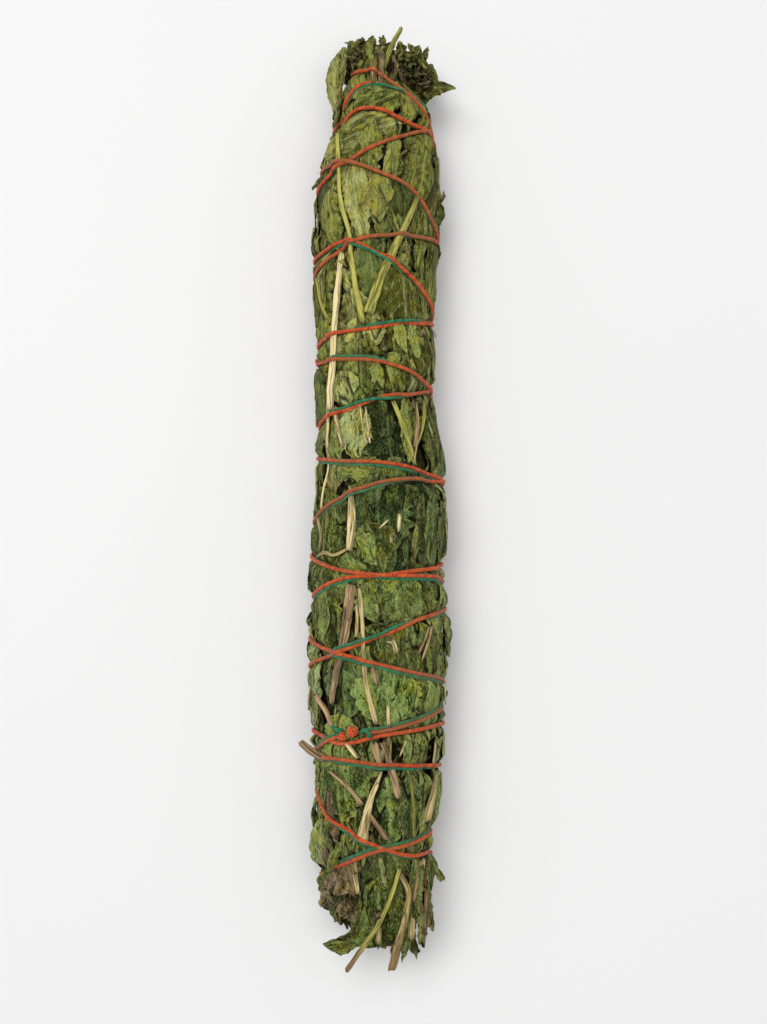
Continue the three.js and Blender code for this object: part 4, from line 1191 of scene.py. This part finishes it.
def add_threads():
    lines, outwards = thread_lines()
    worn = np.clip(0.16 + 0.7 * noise(ROUTE / 110, 3.0, 6.5) + 0.3 * noise(ROUTE / 20, 3.0, 7.5), 0, 0.6)
    for colour, phase, share, wear in (("red", 0.0, 1.0, 1.0), ("green", 2.0, GREEN_SHARE, 0.3)):
        into = piece(f"{colour}_thread", f"{colour}_cotton", f"{colour}_thread")
        add_thread(into, lines[colour], outwards, phase, share * THREAD / 2, worn * wear)
        add_fuzz(into, lines[colour], outwards)


def add_knot():
    """Two tangles of the red thread and the two loose ends of the green one."""
    around, along = np.array(float(KNOT_AROUND)), np.array(KNOT_ALONG)
    middle = place(around, along, relief.at(around, along) + swelling.at(around, along) + 0.9)
    out = np.array([math.cos(math.radians(KNOT_AROUND)), 0, math.sin(math.radians(KNOT_AROUND))])
    ahead = np.array([0.0, 1.0, 0.0])
    across = np.cross(ahead, out)
    red = piece("thread_knot", "red_cotton", "thread_knot")
    add_thread(red, knot_curve(middle, across, ahead, out, 0.85, 0.0), out, 1.0)
    beside = middle - 2.6 * across - 1.1 * ahead - 0.4 * out
    add_thread(red, knot_curve(beside, across, ahead, out, 0.6, 1.2), out, 1.5)
    green = piece("thread_knot_ends", "green_cotton")
    for shift, length, tilt in ((-2.6, 2.4, 0.5), (1.9, 2.2, -0.6)):
        start = middle + shift * across - 0.3 * out
        reach = length * across * np.sign(shift)
        halfway = start + 0.5 * reach + 0.4 * ahead + 0.3 * out
        end = start + reach + tilt * 2 * ahead - 0.2 * out
        add_thread(green, curve([start, halfway, end], 0.3)[0], out, 0.4)


# --- Materials ---


def linear(hexadecimal):
    """An sRGB colour as linear red, green, blue and alpha."""
    parts = [int(hexadecimal[i : i + 2], 16) / 255 for i in (0, 2, 4)]
    return tuple(c / 12.92 if c <= 0.04045 else ((c + 0.055) / 1.055) ** 2.4 for c in parts) + (1.0,)


class Value:
    """What a node gives out. It adds, subtracts, multiplies and divides like a number."""

    def __init__(self, graph, socket):
        self.graph, self.socket = graph, socket

    def __add__(self, other):
        return self.graph.math("ADD", self, other)

    def __sub__(self, other):
        return self.graph.math("SUBTRACT", self, other)

    def __rsub__(self, other):
        return self.graph.math("SUBTRACT", other, self)

    def __mul__(self, other):
        return self.graph.math("MULTIPLY", self, other)

    def __truediv__(self, other):
        return self.graph.math("DIVIDE", self, other)

    def __abs__(self):
        return self.graph.math("ABSOLUTE", self)


class Graph:
    """A material's nodes, made and linked by short calls."""

    def __init__(self, name):
        self.material = bpy.data.materials.new(name)
        self.material.use_nodes = True
        self.nodes, self.links = self.material.node_tree.nodes, self.material.node_tree.links
        self.shader = self.nodes["Principled BSDF"]

    def feed(self, socket, value):
        if isinstance(value, Value):
            self.links.new(value.socket, socket)
        else:
            socket.default_value = value

    def node(self, kind, inputs, output=0, **settings):
        made = self.nodes.new(kind)
        for key, value in settings.items():
            setattr(made, key, value)
        for key, value in inputs.items():
            self.feed(made.inputs[key], value)
        return Value(self, made.outputs[output])

    def attribute(self, name, output):
        return self.node("ShaderNodeAttribute", {}, output, attribute_name=name)

    def split(self, vector):
        return [self.node("ShaderNodeSeparateXYZ", {0: vector}, k) for k in range(3)]

    def math(self, operation, first, second=0.0):
        return self.node("ShaderNodeMath", {0: first, 1: second}, operation=operation)

    def larger(self, first, second):
        return self.math("MAXIMUM", first, second)

    def ranged(self, value, low, high, to_low=0.0, to_high=1.0):
        return self.node("ShaderNodeMapRange", {0: value, 1: low, 2: high, 3: to_low, 4: to_high})

    def clamped(self, value):
        return self.node("ShaderNodeClamp", {0: value})

    def mix(self, factor, first, second, **settings):
        inputs = {0: factor, 6: first, 7: second}
        return self.node("ShaderNodeMix", inputs, 2, data_type="RGBA", **settings)

    def tint(self, colour, by):
        return self.mix(1.0, colour, by, blend_type="MULTIPLY")

    def noise(self, vector, scale, detail, along=1.0, roughness=0.55):
        """Noise with "scale" features to a unit, and "along" times as many in the forward direction."""
        stretched = self.node("ShaderNodeMapping", {"Vector": vector, "Scale": (1.0, along, 1.0)})
        inputs = {"Vector": stretched, "Scale": scale, "Detail": detail, "Roughness": roughness}
        return self.node("ShaderNodeTexNoise", inputs)

    def fine_lines(self, field):
        """1 along the lines where a noise has its middle value, and 0 beside them."""
        return self.ranged(abs(field - 0.5), 0.025, 0.0)

    def finish(self, colour, height, distance, strength, roughness, **fixed):
        bump = {"Height": height, "Distance": distance, "Strength": strength}
        self.feed(self.shader.inputs["Normal"], self.node("ShaderNodeBump", bump))
        self.feed(self.shader.inputs["Base Color"], colour)
        self.feed(self.shader.inputs["Roughness"], roughness)
        for name, value in fixed.items():
            self.shader.inputs[name.replace("_", " ")].default_value = value
        return self.material


DRY = linear("8c8148")
# The near-black colour of painted shade in hollows, beside edges, in creases and in cracks
PAINTED_SHADE = linear("130c02")
WORN = linear("8a6436")
EDGE_HIGHLIGHT = linear("b3ab6c")
STEM_END = linear("6d5d3c")
BROWNED_STEM = linear("6a4a28"), linear("b08a58")
YELLOWER = (0.88, 0.86, 0.66, 1.0)  # leaves near the tip
GREENER = (0.78, 0.92, 0.93, 1.0)  # and elsewhere
DULLER = (0.95, 0.9, 0.88, 1.0)  # brown leaves, wherever they are
WARMER = (1.3, 1.04, 0.5, 1.0)  # leaves that have begun to yellow, here and there
SMOOTH_ABOVE, ROUGH_BELOW = 0.05, 0.01  # metres along: from the one down to the other, leaves grow rougher

FOLDS = [
    # how many to a millimetre, how much slower along the leaf, how dark the painted shadow below it, how
    # different its two sides
    (0.14, 0.24, 1.0, 0.45),
    (0.32, 0.24, 0.95, 0.25),
    (0.55, 0.3, 0.95, 0.15),
    (1.0, 0.35, 0.85, 0.2),
]


def leaf_material(name, deep, lit, vein, near_tip=YELLOWER, elsewhere=GREENER):
    g = Graph(name)
    grain = g.attribute("grain", "Vector")
    across, forward, _ = g.split(grain)
    tone, age, edge = g.split(g.attribute("paint", "Vector"))
    shade = g.attribute("shade", "Fac")
    along = g.split(g.node("ShaderNodeTexCoord", {}, "Object"))[1]
    blotch = g.noise(grain, 0.22, 2.0)
    mottle = g.noise(grain, 0.8, 5.0, roughness=0.68)
    speck = g.noise(grain, 3.8, 3.0, 0.4)
    streak = g.noise(grain, 1.6, 3.0, 0.2)

    away = abs(across)
    slant = (forward - away * SIDE_VEIN_SLANT) / SIDE_VEIN_PITCH + blotch * 0.8
    side_vein = g.ranged(g.math("PINGPONG", slant, 0.5), 0.42, 0.5)
    rib = g.ranged(away, 0.4, 0.1)

    # How light the leaf is, by its own tone and by painted highlights on ridges and fold edges, and how high
    # it stands, from place to place
    level = tone + (mottle - 0.5) * 1.1 + (streak - 0.5) * 0.8
    level = level + (speck - 0.5) * g.ranged(along, SMOOTH_ABOVE, ROUGH_BELOW, 1.0, 2.6)
    # A painted highlight on ridges, where the shade is below 0
    level = level - g.math("MINIMUM", shade, 0.0) * 0.6
    height = side_vein * 0.2 + mottle * 0.25 + streak * 0.5 + speck * 0.7
    # Each fold gets a painted shadow in a thin crack below its edge, and a painted highlight along the rim
    # above it
    crack = 0.0
    for size, slower, darkness, difference in FOLDS:
        field = g.noise(grain, size, 2.0, slower)
        step = g.ranged(field, 0.495, 0.51)
        below = g.ranged(field, 0.47, 0.49) * (1.0 - step)
        rim = g.ranged(field, 0.545, 0.51) * step
        there = g.ranged(g.noise(grain, size * 1.3, 1.0, 0.5), 0.47, 0.56, 0.0, darkness)
        crack = g.larger(crack, below * there)
        level = level + (step - 0.5) * difference + rim * there * 0.4
        height = height + step * (there * 0.65)

    colour = g.mix(g.clamped(level), linear(deep), linear(lit))
    dried = age * g.ranged(blotch, 0.35, 0.65, 0.4, 1.8)
    colour = g.mix(g.clamped(dried), colour, DRY)
    greener = g.ranged(along + blotch * 0.05, 0.07, 0.0)
    colour = g.mix(greener, g.tint(colour, near_tip), g.tint(colour, elsewhere))
    warmer = g.ranged(g.noise(grain, 0.35, 3.0), 0.48, 0.64)
    colour = g.mix(warmer, colour, g.tint(colour, WARMER))
    fine = g.fine_lines(g.noise(grain, 1.1, 2.0, 0.3)) * g.ranged(blotch, 0.45, 0.6, 0.0, 0.5)
    colour = g.mix(g.larger(g.larger(side_vein * 0.16, rib * 0.34), fine), colour, linear(vein))
    # A painted highlight along the leaf's edges
    edge_highlight_share = edge * g.ranged(mottle, 0.42, 0.6, 0.0, 0.8)
    colour = g.mix(g.clamped(edge_highlight_share), colour, EDGE_HIGHLIGHT)
    # Further down the bundle, leaves get more bump and a stronger painted shadow in their cracks
    rougher = g.ranged(along, SMOOTH_ABOVE, ROUGH_BELOW, 0.65, 1.0)
    # Painted shade: from the shade attribute, and the painted shadow in the cracks below fold edges
    dark = g.larger(g.ranged(shade, 0.0, 0.8, 0.0, 0.97), crack * rougher)
    colour = g.mix(dark, colour, PAINTED_SHADE)
    roughness = g.ranged(mottle, 0.3, 0.7, 0.55, 0.8)
    return g.finish(colour, height * rougher, 0.0008, 0.85, roughness, Specular_IOR_Level=0.12)


def stem_material(name, deep, lit):
    g = Graph(name)
    grain = g.attribute("grain", "Vector")
    tone, browned, edge = g.split(g.attribute("paint", "Vector"))
    shade = g.attribute("shade", "Fac")
    fibre = g.noise(grain, 2.6, 4.0, 0.08)
    split = g.noise(grain, 1.1, 2.0, 0.05)
    patch = g.noise(grain, 0.5, 3.0, 0.35)
    level = tone + (fibre - 0.5) * 1.8 + (patch - 0.5) * 1.2
    colour = g.mix(g.clamped(level), linear(deep), linear(lit))
    colour = g.mix(browned, colour, g.mix(fibre, *BROWNED_STEM))
    colour = g.mix(edge * 0.5, colour, STEM_END)
    # Painted shade: in the splits along the fibres, which are also grooves in the bump, and from the shade
    # attribute
    crack = g.ranged(split, 0.44, 0.49) * g.ranged(split, 0.52, 0.495)
    colour = g.mix(g.larger(shade * 0.8, crack * 0.55), colour, PAINTED_SHADE)
    return g.finish(colour, fibre - crack, 0.0005, 0.8, g.ranged(fibre, 0.3, 0.7, 0.5, 0.7))


def cotton_material(name, deep, lit):
    g = Graph(name)
    grain = g.attribute("grain", "Vector")
    tone, worn, ply_gap_shade = g.split(g.attribute("paint", "Vector"))
    fibre = g.noise(grain, 6.0, 3.0, 0.25)
    dye = g.noise(grain, 0.5, 3.0)
    # Painted shade between the plies
    level = tone + (fibre - 0.5) * 1.6 + (dye - 0.5) * 1.4 - ply_gap_shade * 0.4
    colour = g.mix(g.clamped(worn), g.mix(g.clamped(level), linear(deep), linear(lit)), WORN)
    return g.finish(colour, fibre, 0.00025, 0.6, 0.85, Sheen_Weight=0.15)


MATERIALS = {
    GREEN: leaf_material(GREEN, "303c04", "acba66", "c0c67a"),
    PALE: leaf_material(PALE, "545e16", "cad28e", "d2d698"),
    DARK: leaf_material(DARK, "202c06", "7e9056", "949f60"),
    BROWN: leaf_material(BROWN, "382c22", "a08e78", "b8a88c", DULLER, DULLER),
    STRAW: stem_material(STRAW, "a88e4e", "ffecac"),
    GREEN_STEM: stem_material(GREEN_STEM, "78741e", "ccc65e"),
    BROWN_STEM: stem_material(BROWN_STEM, "64482c", "cdac7c"),
    "red_cotton": cotton_material("red_cotton", "9c2204", "ff7a28"),
    "green_cotton": cotton_material("green_cotton", "0a4c2c", "36aa72"),
}

# --- Setting the pieces down ---


def settle(body):
    """Gives a body that is laid on the bundle its points, and how shaded each of them lies."""
    around, along, lift = body.places
    body.points = surface(around, along, lift)
    # Painted shade where a place lies below what lies round it, and right beside the edge of a leaf over it,
    # stronger in some places than in others
    depth = np.clip((high_ground.at(around, along) - lift) / SHADE_DEPTH, 0, 1)
    edge_shade_share = 0.45 + 0.5 * smoothstep(noise(unrolled(around) / 4, along / 6, 9.5), -0.3, 0.3)
    depth += edge_shade_share * np.clip((near_ground.at(around, along) - lift) / EDGE_DEPTH, 0, 1)
    body.shade = np.clip(depth + FOLD_SHADE * body.shade, -1, 1)


def write_attribute(mesh, label, kind, key, values):
    layer = mesh.attributes.new(label, kind, "POINT")
    layer.data.foreach_set(key, np.ascontiguousarray(values, np.float32).ravel())


def write_mesh(name, bodies):
    """One mesh of closed bodies, with the attributes that the materials read."""
    first = np.cumsum([0] + [len(body.points) for body in bodies])
    shade = [np.broadcast_to(np.ravel(body.shade), len(body.points)) for body in bodies]
    faces = [face + start for body, start in zip(bodies, first) for face in body.faces]
    corners = np.concatenate([face.ravel() for face in faces]).astype(np.int32)
    sizes = np.concatenate([np.full(len(face), face.shape[1]) for face in faces])
    mesh = bpy.data.meshes.new(name)
    mesh.vertices.add(first[-1])
    points = np.concatenate([body.points for body in bodies])
    mesh.vertices.foreach_set("co", (points * MM).astype(np.float32).ravel())
    mesh.loops.add(len(corners))
    mesh.loops.foreach_set("vertex_index", corners)
    mesh.polygons.add(len(sizes))
    mesh.polygons.foreach_set("loop_start", (np.cumsum(sizes) - sizes).astype(np.int32))
    mesh.update(calc_edges=True)
    mesh.shade_smooth()
    for label in ("grain", "paint"):
        values = np.concatenate([getattr(body, label) for body in bodies])
        write_attribute(mesh, label, "FLOAT_VECTOR", "vector", values)
    write_attribute(mesh, "shade", "FLOAT", "value", np.concatenate(shade))
    return mesh


def link_object(name, data):
    made = bpy.data.objects.new(name, data)
    bpy.context.scene.collection.objects.link(made)
    return made


high_ground = BundleMap(soften(relief.values, WIDE_BLUR, "wrap"))
near_ground = BundleMap(soften(relief.values, NEAR_BLUR, "wrap"))
pair_lifts = thread_lifts()
press_map = press_limits()
set_stems()
packed_skin()
add_threads()
add_knot()
for made in Piece.made.values():
    for body in made.bodies:
        if body.places:
            settle(body)
    mesh = write_mesh(made.name, made.bodies)
    mesh.materials.append(MATERIALS[made.slot])
    shown = link_object(made.name, mesh)
    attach(shown, "root")
    if made.nodes:
        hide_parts(*made.nodes)

# --- Floor, light and camera ---

LIGHTS = [
    # name, power, size, place
    ("window", 4.2, 0.5, (-0.22, 0.22, 0.85)),
    ("ceiling", 1.3, 0.4, (0.2, -0.2, 0.85)),
]
LIT_POINT = (0, 0, 0.01)
CAMERA_PLACE = (0.0013, -0.0358, 0.3044)
CAMERA_TILT = 6.0
SENSOR_WIDTH, LENS = 36.0, 59.1395


def floor_material():
    g = Graph("pale_floor")
    cloud = g.noise(g.node("ShaderNodeTexCoord", {}, "Object"), 6.0, 2.0)
    return g.finish(g.mix(cloud, linear("f5f5f5"), linear("f9f9f9")), cloud, 0.0001, 0.1, 0.9)


def add_to_scene(name, data, location, rotation):
    made = link_object(name, data)
    made.location, made.rotation_euler = location, rotation
    return made


bpy.ops.mesh.primitive_plane_add(size=4.0, location=(0, 0, 0))
floor = bpy.context.object
floor.name = "floor"
floor.data.materials.append(floor_material())

world = bpy.data.worlds.new("soft_light")
bpy.context.scene.world = world
world.use_nodes = True
world.node_tree.nodes["Background"].inputs["Color"].default_value = (1.0, 1.0, 1.0, 1.0)
world.node_tree.nodes["Background"].inputs["Strength"].default_value = 0.4

for name, power, size, location in LIGHTS:
    light = bpy.data.lights.new(name, "AREA")
    light.energy, light.size = power, size
    towards = Vector(LIT_POINT) - Vector(location)
    add_to_scene(name, light, location, towards.to_track_quat("-Z", "Y").to_euler())

lens = bpy.data.cameras.new("camera")
lens.sensor_fit = "HORIZONTAL"
lens.sensor_width = SENSOR_WIDTH
lens.lens = LENS
bpy.context.scene.camera = add_to_scene("camera", lens, CAMERA_PLACE, (math.radians(CAMERA_TILT), 0, 0))
bpy.context.scene.view_settings.view_transform = "Standard"
